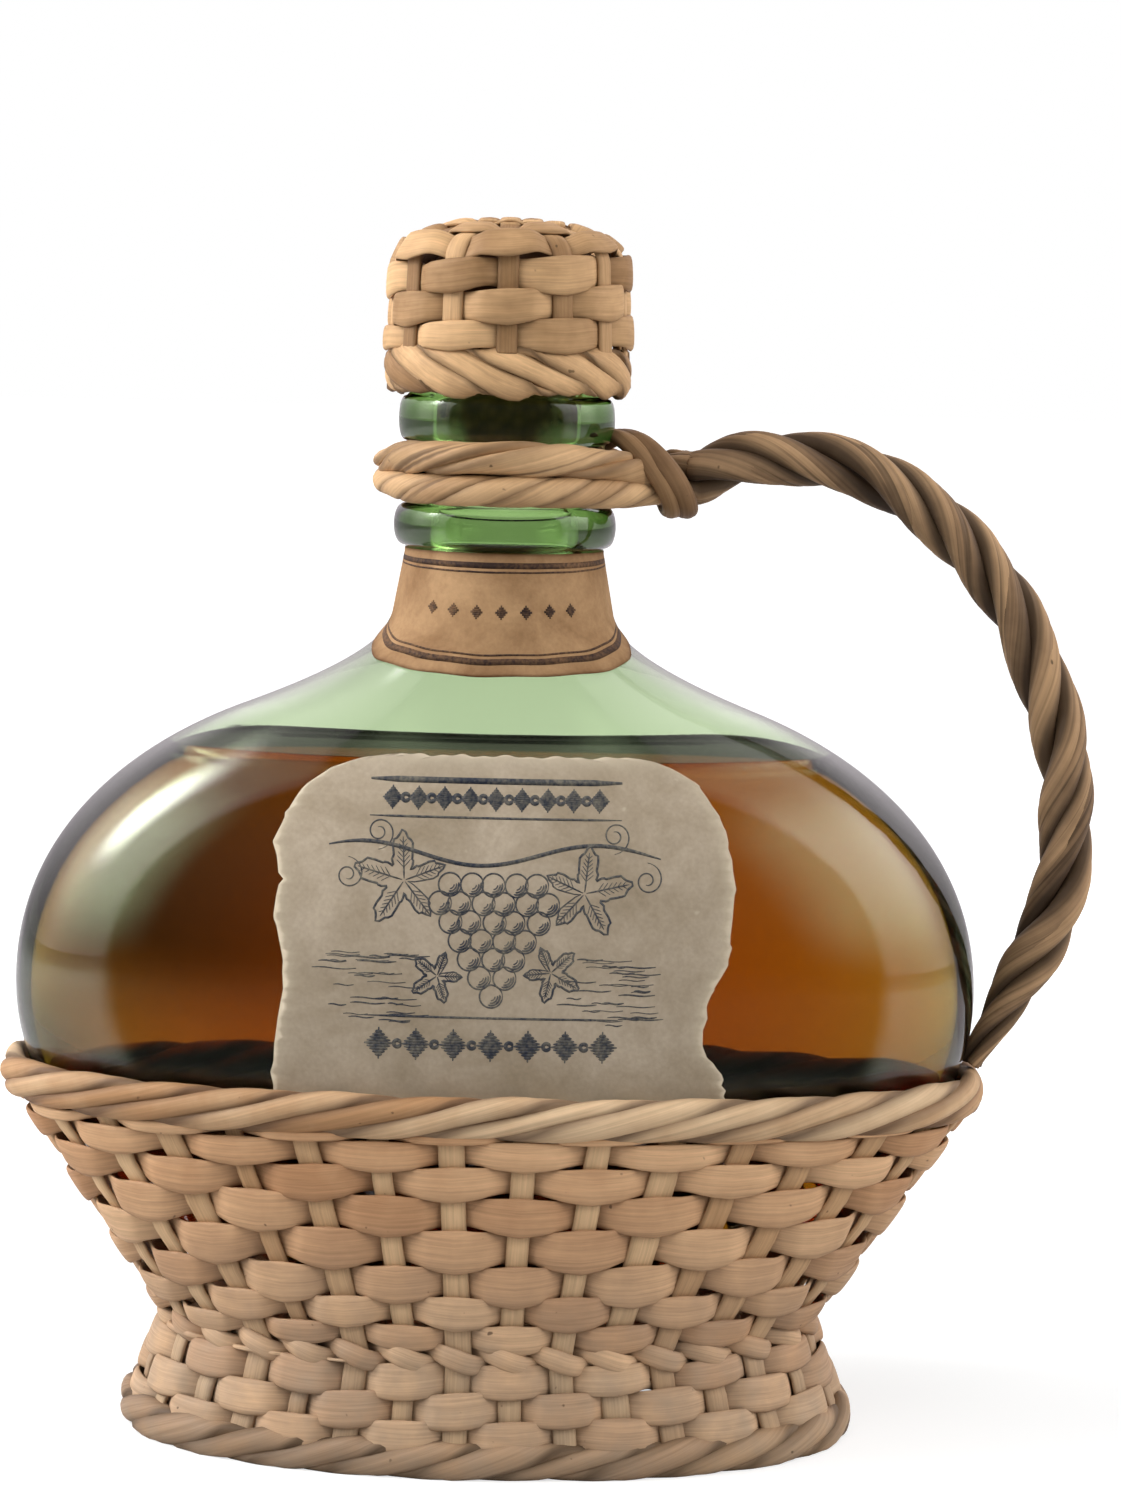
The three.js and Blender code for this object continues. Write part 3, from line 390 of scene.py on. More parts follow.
@dataclass(frozen=True)
class Section:
    """Outline of a strip's cross-section, in shares of its half width and half thickness."""

    across: tuple[float, ...]
    height: tuple[float, ...]

    def rings(self, centre: np.ndarray, side: np.ndarray, normal: np.ndarray, width: np.ndarray,
              thickness: np.ndarray) -> tuple[np.ndarray, np.ndarray]:
        """Rings of points along a path.

        Args:
            centre: the path's points.
            side: directions across the strip.
            normal: directions out of its face.
            width: its width, or one at each point.
            thickness: its thickness, or one at each point.

        Returns:
            The rings, and the distance across the strip at each of their points.
        """
        a = np.asarray(self.across) * np.reshape(width, (-1, 1)) / 2
        h = np.asarray(self.height) * np.reshape(thickness, (-1, 1)) / 2
        a, h = (np.broadcast_to(v, (len(centre), len(self.across))) for v in (a, h))
        return centre[:, None] + side[:, None] * a[..., None] + normal[:, None] * h[..., None], a

    def edge(self, power: float = 4) -> np.ndarray:
        """How near each point is to the strip's edge, from 0 to 1; nearer the edge with a higher power."""
        return np.abs(np.asarray(self.across)) ** power


def folded(folds: tuple[float, ...], depth: float) -> Section:
    """Section of a bundle of rush leaves, with folds along it.

    Args:
        folds: the folds' angles round the section, in degrees from its side.
        depth: depth of a fold against the section's half size.

    Returns:
        The section.
    """
    angle = np.linspace(0, 360, 36, endpoint=False)
    radius = 1 - sum(depth * np.exp(-(((angle - fold + 180) % 360 - 180) / 6) ** 2) for fold in folds)
    across, height = radius * np.cos(np.radians(angle)), radius * np.sin(np.radians(angle))
    return Section(tuple(across.tolist()), tuple(height.tolist()))


# A split willow skein: gently domed face, thin edges, flatter back
SKEIN = Section((-1, -0.97, -0.88, -0.66, -0.33, 0, 0.33, 0.66, 0.88, 0.97, 1, 0.6, 0, -0.6),
                (-0.15, 0.25, 0.62, 0.87, 0.97, 1, 0.97, 0.87, 0.62, 0.25, -0.15, -0.8, -0.85, -0.8))
# A plump strand of rush or peeled willow
STRAND = Section(tuple(math.cos(TURN * j / 14) for j in range(14)),
                 tuple(math.sin(TURN * j / 14) for j in range(14)))
# A flat rush leaf, and bundles of leaves, each folded in its own places
LEAF = folded((70, 116), 0.08)
BUNDLES = (folded((68, 122), 0.07), folded((50, 98), 0.06), folded((84, 136), 0.07))


# Finishes


@dataclass(frozen=True)
class Finish:
    """A real material and how it was made."""

    name: str

    def nodes(self, tree: bpy.types.NodeTree) -> dict[str, bpy.types.Node]:
        """Adds the finish's nodes to a tree and gives those that the output takes, by socket."""
        raise NotImplementedError

    def make(self) -> bpy.types.Material:
        """Builds the material.

        Returns:
            The finished material.
        """
        material, tree = new_material(self.name)
        add(tree, "OutputMaterial", self.nodes(tree))
        return material


@dataclass(frozen=True)
class WickerFinish(Finish):
    """Peeled willow or twisted rush, split and woven dry: silky lengthwise fibre, with painted shade where strips
    cross and at their edges.
    """

    pale: str
    deep: str
    # colour of dark creases and specks, and of the painted shade
    mark_and_shade_colour: str
    grey: str = "#A3917C"
    grey_low: float = 0.0  # height in millimetres where the grey is full
    grey_high: float = 0.0  # height where it has gone
    fibre_mm: float = 0.4  # width of a fibre, drawn coarser than the real 0.1 mm so that it shows
    fibre_length_mm: float = 16.0
    crease: float = 0.0  # strength of the dark lengthwise creases of rush
    crease_mm: float = 1.3
    crease_length_mm: float = 60.0
    roughness: float = 0.62

    def nodes(self, tree: bpy.types.NodeTree) -> dict[str, bpy.types.Node]:
        """Adds fibre, creases, blotches, specks, grey towards the foot, and painted shade.

        Args:
            tree: the material's node tree.

        Returns:
            The shader for the output.
        """
        grain = add(tree, "Attribute", attribute_name="grain").outputs["Vector"]
        shade = add(tree, "Attribute", attribute_name="shade").outputs["Fac"]
        place = add(tree, "TexCoord").outputs["Object"]
        strip_tone = add(tree, "SeparateXYZ", [grain]).outputs[2]
        # Fibre and creases run the length of each strip, and each strip has its own
        stretch = (1000 / self.fibre_length_mm, 1000 / self.fibre_mm, 37.0)
        fibre = add(tree, "VectorMath", [grain, stretch], **MULTIPLY)
        fibre = add(tree, "TexNoise", {"Vector": fibre, "Scale": 1.0, "Detail": 4.0, "Roughness": 0.65})
        stretch = (1000 / self.crease_length_mm, 1000 / self.crease_mm, 91.0)
        crease = add(tree, "VectorMath", [grain, stretch], **MULTIPLY)
        crease = add(tree, "TexNoise", {"Vector": crease, "Scale": 1.0, "Detail": 2.0})
        crease = add(tree, "MapRange", [crease, 0.56, 0.66, 0.0, 1.0], **SMOOTH)
        # Blotches of about 7 mm and dark specks of under 2 mm
        blotch = add(tree, "TexNoise", {"Vector": place, "Scale": 140.0, "Detail": 3.0, "Roughness": 0.6})
        speck = add(tree, "TexNoise", {"Vector": place, "Scale": 620.0, "Detail": 1.0})
        speck = add(tree, "MapRange", [speck, 0.76, 0.83, 0.0, 0.75], **SMOOTH)
        tone = add(tree, "Math", [blotch, 0.9, -0.45], operation="MULTIPLY_ADD")
        tone = add(tree, "Math", [tone, strip_tone], operation="ADD", use_clamp=True)
        colour = add(tree, "Mix", {0: tone, 6: linear(self.pale), 7: linear(self.deep)}, **COLOUR)
        # Greyer in patches towards the foot
        if self.grey_high > self.grey_low:
            height = add(tree, "SeparateXYZ", [place]).outputs[2]
            grey = [height, self.grey_low * MM, self.grey_high * MM, 0.62, 0.0]
            lower_grey = add(tree, "MapRange", grey, **SMOOTH)
            lower_grey = add(tree, "Math", [lower_grey, blotch], **MULTIPLY)
            lower_grey = add(tree, "Math", [lower_grey, 1.7], use_clamp=True, **MULTIPLY)
            colour = add(tree, "Mix", {0: lower_grey, 6: colour, 7: linear(self.grey)}, **COLOUR)
        streak = add(tree, "MapRange", [fibre, 0.3, 0.7, 1.13, 0.8])
        colour = add(tree, "VectorMath", {0: colour, 3: streak}, operation="SCALE")
        marks_and_shade = add(tree, "Math", [crease, self.crease], **MULTIPLY)
        marks_and_shade = add(tree, "Math", [marks_and_shade, speck], operation="MAXIMUM")
        # Painted shade: darker where a strip is tucked in behind others, at its edges and in dark cores, from the
        # shade attribute
        painted_shade = add(tree, "Math", [shade, 0.8], **MULTIPLY)
        marks_and_shade = add(tree, "Math", [marks_and_shade, painted_shade], operation="MAXIMUM", use_clamp=True)
        colour = add(tree, "Mix", {0: marks_and_shade, 6: colour, 7: linear(self.mark_and_shade_colour)}, **COLOUR)
        rough = add(tree, "MapRange", [fibre, 0.25, 0.75, self.roughness - 0.1, self.roughness + 0.16])
        relief = add(tree, "Math", [crease, -1.6 * self.crease, fibre], operation="MULTIPLY_ADD")
        bump = add(tree, "Bump", {"Strength": 0.55, "Distance": 0.12 * MM, "Height": relief})
        return {"Surface": add(tree, "BsdfPrincipled", {"Base Color": colour, "Roughness": rough, "Normal": bump,
                                                        "Specular IOR Level": 0.32})}


@dataclass(frozen=True)
class ClearFinish(Finish):
    """A clear body that colours light by the length it travels inside: blown glass or still wine."""

    ior: float
    absorption: str  # colour that passes, with density
    density: float  # per metre
    ripple_mm: float  # size of the surface's waves
    ripple: float  # strength of the waves

    def nodes(self, tree: bpy.types.NodeTree) -> dict[str, bpy.types.Node]:
        """Adds a rippled clear surface and a body that absorbs light.

        Args:
            tree: the material's node tree.

        Returns:
            The surface and the volume for the output.
        """
        place = add(tree, "TexCoord").outputs["Object"]
        wave = add(tree, "TexNoise", {"Vector": place, "Scale": 1000 / self.ripple_mm, "Detail": 1.0})
        bump = add(tree, "Bump", {"Strength": self.ripple, "Distance": 1.2 * MM, "Height": wave})
        haze = add(tree, "TexNoise", {"Vector": place, "Scale": 60.0, "Detail": 5.0})
        rough = add(tree, "MapRange", [haze, 0.35, 0.75, 0.0, 0.05])
        shader = add(tree, "BsdfPrincipled", {"Base Color": WHITE, "Roughness": rough, "IOR": self.ior,
                                              "Transmission Weight": 1.0, "Normal": bump})
        depth = add(tree, "VolumeAbsorption", {"Color": linear(self.absorption), "Density": self.density})
        return {"Surface": shader, "Volume": depth}


@dataclass(frozen=True)
class PaperFinish(Finish):
    """Uncoated paper glued on the glass and aged: cloudy stains, browned torn edges, soft fibre."""

    pale: str
    deep: str
    edge: str
    stain_mm: float = 14.0

    def nodes(self, tree: bpy.types.NodeTree) -> dict[str, bpy.types.Node]:
        """Adds stains, fibre, flecks and worn edges.

        Args:
            tree: the material's node tree.

        Returns:
            The shader for the output.
        """
        place = add(tree, "TexCoord").outputs["Object"]
        shade = add(tree, "Attribute", attribute_name="shade").outputs["Fac"]
        cloud = add(tree, "TexNoise", {"Vector": place, "Scale": 1000 / self.stain_mm, "Detail": 5.0,
                                       "Roughness": 0.62, "Distortion": 0.4})
        fibre = add(tree, "TexNoise", {"Vector": place, "Scale": 1500.0, "Detail": 3.0})
        fleck = add(tree, "TexNoise", {"Vector": place, "Scale": 420.0, "Detail": 1.0})
        spot = add(tree, "MapRange", [fleck, 0.77, 0.86, 0.0, 0.55], **SMOOTH)
        stain = add(tree, "MapRange", [cloud, 0.34, 0.68, 0.0, 1.0])
        colour = add(tree, "Mix", {0: stain, 6: linear(self.pale), 7: linear(self.deep)}, **COLOUR)
        grit = add(tree, "MapRange", [fibre, 0.3, 0.7, 0.93, 1.06])
        colour = add(tree, "VectorMath", {0: colour, 3: grit}, operation="SCALE")
        rim = add(tree, "Math", [shade, cloud], use_clamp=True, **MULTIPLY)
        rim = add(tree, "Math", [rim, 1.7], use_clamp=True, **MULTIPLY)
        rim = add(tree, "Math", [rim, spot], operation="MAXIMUM")
        colour = add(tree, "Mix", {0: rim, 6: colour, 7: linear(self.edge)}, **COLOUR)
        bump = add(tree, "Bump", {"Strength": 0.35, "Distance": 0.1 * MM, "Height": fibre})
        rough = add(tree, "MapRange", {0: cloud, 3: 0.72, 4: 0.92})
        return {"Surface": add(tree, "BsdfPrincipled", {"Base Color": colour, "Roughness": rough, "Normal": bump,
                                                        "Specular IOR Level": 0.25})}


@dataclass(frozen=True)
class InkFinish(Finish):
    """Letterpress ink, matt and a little worn, so that paper shows through in grains."""

    ink: str
    worn: str

    def nodes(self, tree: bpy.types.NodeTree) -> dict[str, bpy.types.Node]:
        """Adds ink with worn grains.

        Args:
            tree: the material's node tree.

        Returns:
            The shader for the output.
        """
        place = add(tree, "TexCoord").outputs["Object"]
        grit = add(tree, "TexNoise", {"Vector": place, "Scale": 1800.0, "Detail": 2.0})
        wear = add(tree, "TexNoise", {"Vector": place, "Scale": 90.0, "Detail": 3.0})
        both = add(tree, "Math", [grit, wear], **MULTIPLY)
        share = add(tree, "MapRange", [both, 0.14, 0.42, 0.0, 0.85])
        colour = add(tree, "Mix", {0: share, 6: linear(self.ink), 7: linear(self.worn)}, **COLOUR)
        rough = add(tree, "MapRange", {0: grit, 3: 0.6, 4: 0.9})
        return {"Surface": add(tree, "BsdfPrincipled", {"Base Color": colour, "Roughness": rough,
                                                        "Specular IOR Level": 0.25})}


@dataclass(frozen=True)
class CorkFinish(Finish):
    """Natural cork bark, cut and sanded: fine cells with dark pores."""

    pale: str
    deep: str
    pore: str

    def nodes(self, tree: bpy.types.NodeTree) -> dict[str, bpy.types.Node]:
        """Adds cells and pores.

        Args:
            tree: the material's node tree.

        Returns:
            The shader for the output.
        """
        place = add(tree, "TexCoord").outputs["Object"]
        cell = add(tree, "TexVoronoi", {"Vector": place, "Scale": 700.0}).outputs["Distance"]
        cloud = add(tree, "TexNoise", {"Vector": place, "Scale": 260.0, "Detail": 4.0})
        pore = add(tree, "MapRange", [cloud, 0.6, 0.68, 0.0, 0.9], **SMOOTH)
        colour = add(tree, "Mix", {0: cell, 6: linear(self.pale), 7: linear(self.deep)}, **COLOUR)
        colour = add(tree, "Mix", {0: pore, 6: colour, 7: linear(self.pore)}, **COLOUR)
        relief = add(tree, "Math", [1.0, pore], operation="SUBTRACT")
        bump = add(tree, "Bump", {"Strength": 0.6, "Distance": 0.3 * MM, "Height": relief})
        rough = add(tree, "MapRange", {0: cloud, 3: 0.78, 4: 0.95})
        return {"Surface": add(tree, "BsdfPrincipled", {"Base Color": colour, "Roughness": rough, "Normal": bump,
                                                        "Specular IOR Level": 0.3})}


# Bottle glass: clear, light green, softly rippled by blowing
GLASS = ClearFinish("green_glass_blown", 1.5, "#9BC745", 212.0, 26.0, 0.12)
# Old fortified wine: clear amber that deepens to brown where it is thick
WINE = ClearFinish("amber_wine_clear", 1.345, "#F0CB30", 118.0, 30.0, 0.02)
# Wall of the basket: split willow, honey above and greyer near the foot
WALL_WILLOW = WickerFinish("split_willow_woven", "#DDB389", "#B78860", "#4A3324", grey_low=10.0, grey_high=50.0)
STAKE_WILLOW = WickerFinish("split_willow_stakes", "#DFBB90", "#BF966C", "#5A402C", grey_low=8.0, grey_high=40.0)
# Borders and cap: peeled willow, paler on the rim, dull at the foot, honey brown on the cap
RIM_WILLOW = WickerFinish("peeled_willow_rolled", "#DFC09A", "#B3885F", "#4A3324", fibre_mm=0.5,
                          fibre_length_mm=30.0)
FOOT_WILLOW = WickerFinish("peeled_willow_foot", "#C39C74", "#8F6A4B", "#40301F", fibre_mm=0.5,
                           fibre_length_mm=24.0, grey_low=0.0, grey_high=18.0)
CAP_WILLOW = WickerFinish("split_willow_cap", "#DEB484", "#94704A", "#432D19", fibre_length_mm=12.0)
# Twisted rush: golden at the collar, brown and creased on the handle
COLLAR_RUSH = WickerFinish("golden_rush_twisted", "#D8B184", "#99744E", "#45301D", fibre_mm=0.45,
                           fibre_length_mm=30.0, crease=0.7, crease_mm=1.9)
HANDLE_RUSH = WickerFinish("brown_rush_laid", "#C09B73", "#6B523C", "#22170F", fibre_mm=0.45,
                           fibre_length_mm=40.0, crease=0.6, crease_mm=1.25)
TIE_RUSH = WickerFinish("brown_rush_tied", "#AC875F", "#76583C", "#2A1D15", crease=0.1, crease_mm=1.6,
                        fibre_length_mm=25.0)
# Label papers, dull and stained, with matt printing ink that has browned
PARCHMENT = PaperFinish("aged_parchment_paper", "#B1A28E", "#93846E", "#C4B69F")
TAN_PAPER = PaperFinish("tan_label_paper", "#B28E67", "#8C6A49", "#664328", stain_mm=9.0)
LABEL_INK = InkFinish("blue_black_ink", "#2C313C", "#7C7668")
NECK_INK = InkFinish("brown_black_ink", "#33251F", "#806044")
# Cork, painted darker than bare cork, as the shade that it lies in inside the neck under the cap
CORK = CorkFinish("cork_painted_dark", "#6E4E33", "#4C3423", "#2A1B12")


# Pieces


@dataclass
class Flask:
    """Glass flask with its wine. Sizes in millimetres, heights from the floor."""

    origin: np.ndarray
    half_width: float = 75.8
    half_depth: float = 33.5
    squareness: float = 2.2
    bottom: float = 19.6
    belly: float = 69.4
    belly_curve: float = 50.6
    shoulder_rise: float = 51.0
    shoulder_fullness: float = 2.15
    turn_wide: float = 0.87  # share of the shoulder's rise where its outline turns up to the neck
    turn_deep: float = 0.68
    neck_root: float = 128.9
    neck_root_radius: float = 17.0
    neck_radius: float = 15.1
    lower_bead: tuple[float, float, float] = (139.3, 6.6, 17.4)  # level, height, radius
    groove_radius: float = 15.4
    upper_bead: tuple[float, float, float] = (155.6, 7.0, 16.9)
    lip_radius: float = 15.3
    mouth: float = 170.6
    wall: float = 2.6
    bore: float = 11.6
    fill: float = 106.6  # the photograph's level, 4 mm under the CAD solid's top
    wet: float = 0.25  # how far the wine's skin lies in the glass, so that no film of air shows
    meniscus: float = 0.9
    sides: int = 128

    @property
    def axes(self) -> tuple[tuple[float, float], tuple[float, float]]:
        """Largest half size and turn of the shoulder, across and in depth."""
        return (self.half_width, self.turn_wide), (self.half_depth, self.turn_deep)

    def shoulder(self, half: float, share: np.ndarray) -> np.ndarray:
        """Half size on the shoulder's curve, by share of its rise."""
        power = self.shoulder_fullness
        return half * (1 - np.clip(share, 0, 1) ** power) ** (1 / power)

    def half(self, z: np.ndarray, half: float, turn: float) -> np.ndarray:
        """Half size of the body.

        Args:
            z: heights.
            half: half size at the widest level.
            turn: share of the shoulder's rise where it turns up to the neck.

        Returns:
            Half sizes at the heights.
        """
        rise = np.asarray(z, float) - self.belly
        below = half * np.sqrt(np.clip(1 - (rise / self.belly_curve) ** 2, 0, 1))
        start = turn * self.shoulder_rise
        span = self.neck_root - self.belly - start
        t = np.clip((rise - start) / span, 0, 1)
        at_turn = self.shoulder(half, turn)
        slope_in = (at_turn - self.shoulder(half, turn - 0.002)) / (0.002 * self.shoulder_rise)
        slope_out = (self.neck_radius - self.neck_root_radius) / (self.lower_bead[0] - self.neck_root)
        keep = 2 * t**3 - 3 * t**2 + 1
        above = (at_turn * keep + self.neck_root_radius * (1 - keep)
                 + span * ((t**3 - 2 * t**2 + t) * slope_in + (t**3 - t**2) * slope_out))
        on_shoulder = self.shoulder(half, rise / self.shoulder_rise)
        return np.where(rise <= 0, below, np.where(rise <= start, on_shoulder, above))

    def halves(self, z: np.ndarray) -> tuple[np.ndarray, np.ndarray]:
        """Half width and half depth of the outside, up to the lower bead.

        Args:
            z: heights.

        Returns:
            Half widths and half depths.
        """
        z = np.asarray(z, float)
        share = np.clip((z - self.neck_root) / (self.lower_bead[0] - self.neck_root), 0, 1)
        neck = self.neck_root_radius + (self.neck_radius - self.neck_root_radius) * share
        wide, deep = (np.where(z >= self.neck_root, neck, self.half(z, *axis)) for axis in self.axes)
        return wide, deep

    def power(self, z: np.ndarray) -> np.ndarray:
        """Power of the oval at a height: squarer body, round neck."""
        low = self.belly + self.shoulder_rise * self.turn_deep
        return self.squareness + (2 - self.squareness) * smooth(low, self.neck_root, z)

    def point(self, angle: np.ndarray, z: np.ndarray, offset: np.ndarray = 0.0) -> np.ndarray:
        """Points on the outside, moved outwards by an offset."""
        wide, deep = self.halves(z)
        return oval(angle, wide + offset, deep + offset, self.power(z), z)

    def front_point(self, x: np.ndarray, z: np.ndarray, offset: np.ndarray = 0.0) -> np.ndarray:
        """Points on the front.

        Args:
            x: places across it.
            z: heights.
            offset: distance outwards.

        Returns:
            The points.
        """
        wide, deep = self.halves(z)
        power = self.power(z)
        share = np.clip(np.abs(x) / (wide + offset), 0, 1)
        return np.stack(np.broadcast_arrays(x, -(deep + offset) * (1 - share**power) ** (1 / power), z), -1)

    def bead(self, bead: tuple[float, float, float], foot: float) -> list[tuple[float, float]]:
        """Half-round bead as pairs of radius and height."""
        low, height, radius = bead
        return [(foot + (radius - foot) * math.cos(a) ** 0.6, low + height / 2 * (1 + math.sin(a)))
                for a in np.radians(np.linspace(-86, 86, 15))]

    def bowl(self, bottom: float) -> np.ndarray:
        """Levels from a bottom up to the belly, closer together near the bottom."""
        return self.belly - (self.belly - bottom) * np.sin(np.linspace(math.pi / 2, 0, 34))

    def shell(self, rings: Sequence[np.ndarray]) -> StripMesh:
        """Closed body through level rings.

        Args:
            rings: points by ring and place in the ring.

        Returns:
            The body, drawn to a point at each end.
        """
        first, last = ((r.mean(0) * 0.999 + r * 0.001) for r in (rings[0], rings[-1]))
        mesh = StripMesh(self.origin)
        mesh.loft(np.array([first, *rings, last]))
        return mesh

    def build(self) -> None:
        """Makes the glass and the wine."""
        angle = np.linspace(0, TURN, self.sides, endpoint=False)
        body = np.concatenate([self.bowl(self.bottom), np.linspace(self.belly, self.neck_root, 70)[1:],
                               np.linspace(self.neck_root, self.lower_bead[0], 8)[1:-1]])
        rim, lip, bore = self.mouth, self.lip_radius, self.bore
        finish = [*self.bead(self.lower_bead, self.neck_radius), (self.groove_radius, self.lower_bead[0] + 7),
                  (self.groove_radius, self.upper_bead[0] - 0.3), *self.bead(self.upper_bead, self.groove_radius),
                  (lip, self.upper_bead[0] + 7.4), (lip, rim - 1.6), (lip - 0.4, rim - 0.5), (lip - 1.4, rim),
                  (bore + 0.8, rim), (bore + 0.1, rim - 0.6), (bore, rim - 2), (bore, 150), (bore, 140), (bore, 133)]
        floor = self.bowl(self.bottom + self.wall)
        inner = np.concatenate([np.linspace(self.neck_root - 2, self.belly, 60), floor[-2::-1]])
        rings = [self.point(angle, z) for z in body] + [oval(angle, r, r, 2, z) for r, z in finish]
        rings += [self.point(angle, z, -self.wall) for z in inner]
        self.shell(rings).build("blown_glass", GLASS.make(), Body.FLASK, Slot.GLASS, "glass_flask")
        skin = self.wet - self.wall
        levels = np.concatenate([floor, np.linspace(self.belly, self.fill, 40)[1:-1]])
        rings = [self.point(angle, z, skin) for z in levels]
        rings[0][:, 2] -= self.wet
        for inset in (0.0, 0.3, 0.8, 1.6, 3.0, 6.0, 12.0):
            ring = self.point(angle, self.fill, skin - inset)
            ring[:, 2] += self.meniscus * math.exp(-inset / 0.9)
            rings.append(ring)
        self.shell(rings).build("amber_wine_fill", WINE.make(), Body.FLASK, Slot.WINE, "wine")


@dataclass
class Label:
    """Paper label on the flask, with printed lines as thin films of ink. Sizes in millimetres."""

    flask: Flask
    seat: float = 0.12
    paper: float = 0.2
    ink: float = 0.03
    columns: int = 96  # steps across the sheet

    def place(self, u: np.ndarray, v: np.ndarray, offset: np.ndarray) -> np.ndarray:
        """Points on the flask for shares across and up the sheet, moved outwards by an offset."""
        raise NotImplementedError

    def sheet(self, name: str, finish: PaperFinish, slot: Slot, node: str, rows: int) -> None:
        """Makes the paper.

        Args:
            name: the piece's name.
            finish: its paper.
            slot: the record's slot.
            node: the CAD node that it stands for.
            rows: steps up the sheet.
        """
        v = np.linspace(0, 1, rows + 1)
        rings, shades = [], []
        for u in np.linspace(-1, 1, self.columns + 1):
            near = np.minimum(1 - abs(u), np.minimum(v, 1 - v) * 1.4)
            edge = np.exp(-near / 0.035)
            inner = self.seat + 0.12 * np.exp(-near / 0.03)
            rings.append(np.concatenate([self.place(u, v, inner), self.place(u, v, inner + self.paper)[::-1]]))
            shades.append(np.concatenate([edge, edge[::-1]]))
        mesh = StripMesh(self.flask.origin)
        mesh.loft(np.array(rings), shade=np.array(shades))
        mesh.build(name, finish.make(), Body.FLASK, slot, node)

    def print_strips(self, strips: Sequence[tuple[np.ndarray, np.ndarray]], place: Callable[..., np.ndarray],
                     name: str, finish: InkFinish, slot: Slot) -> None:
        """Prints strips on the paper.

        Args:
            strips: each strip's two edges on the flat label.
            place: gives points for places across and up and for an offset.
            name: the piece's name.
            finish: its ink.
            slot: the record's slot.
        """
        mesh = StripMesh(self.flask.origin)
        face = self.seat + self.paper
        for left, right in strips:
            corners = ((left, self.ink), (right, self.ink), (right, -self.ink), (left, -self.ink))
            mesh.loft(np.stack([place(*edge.T, face + rise) for edge, rise in corners], 1))
        mesh.build(name, finish.make(), Body.FLASK, slot)


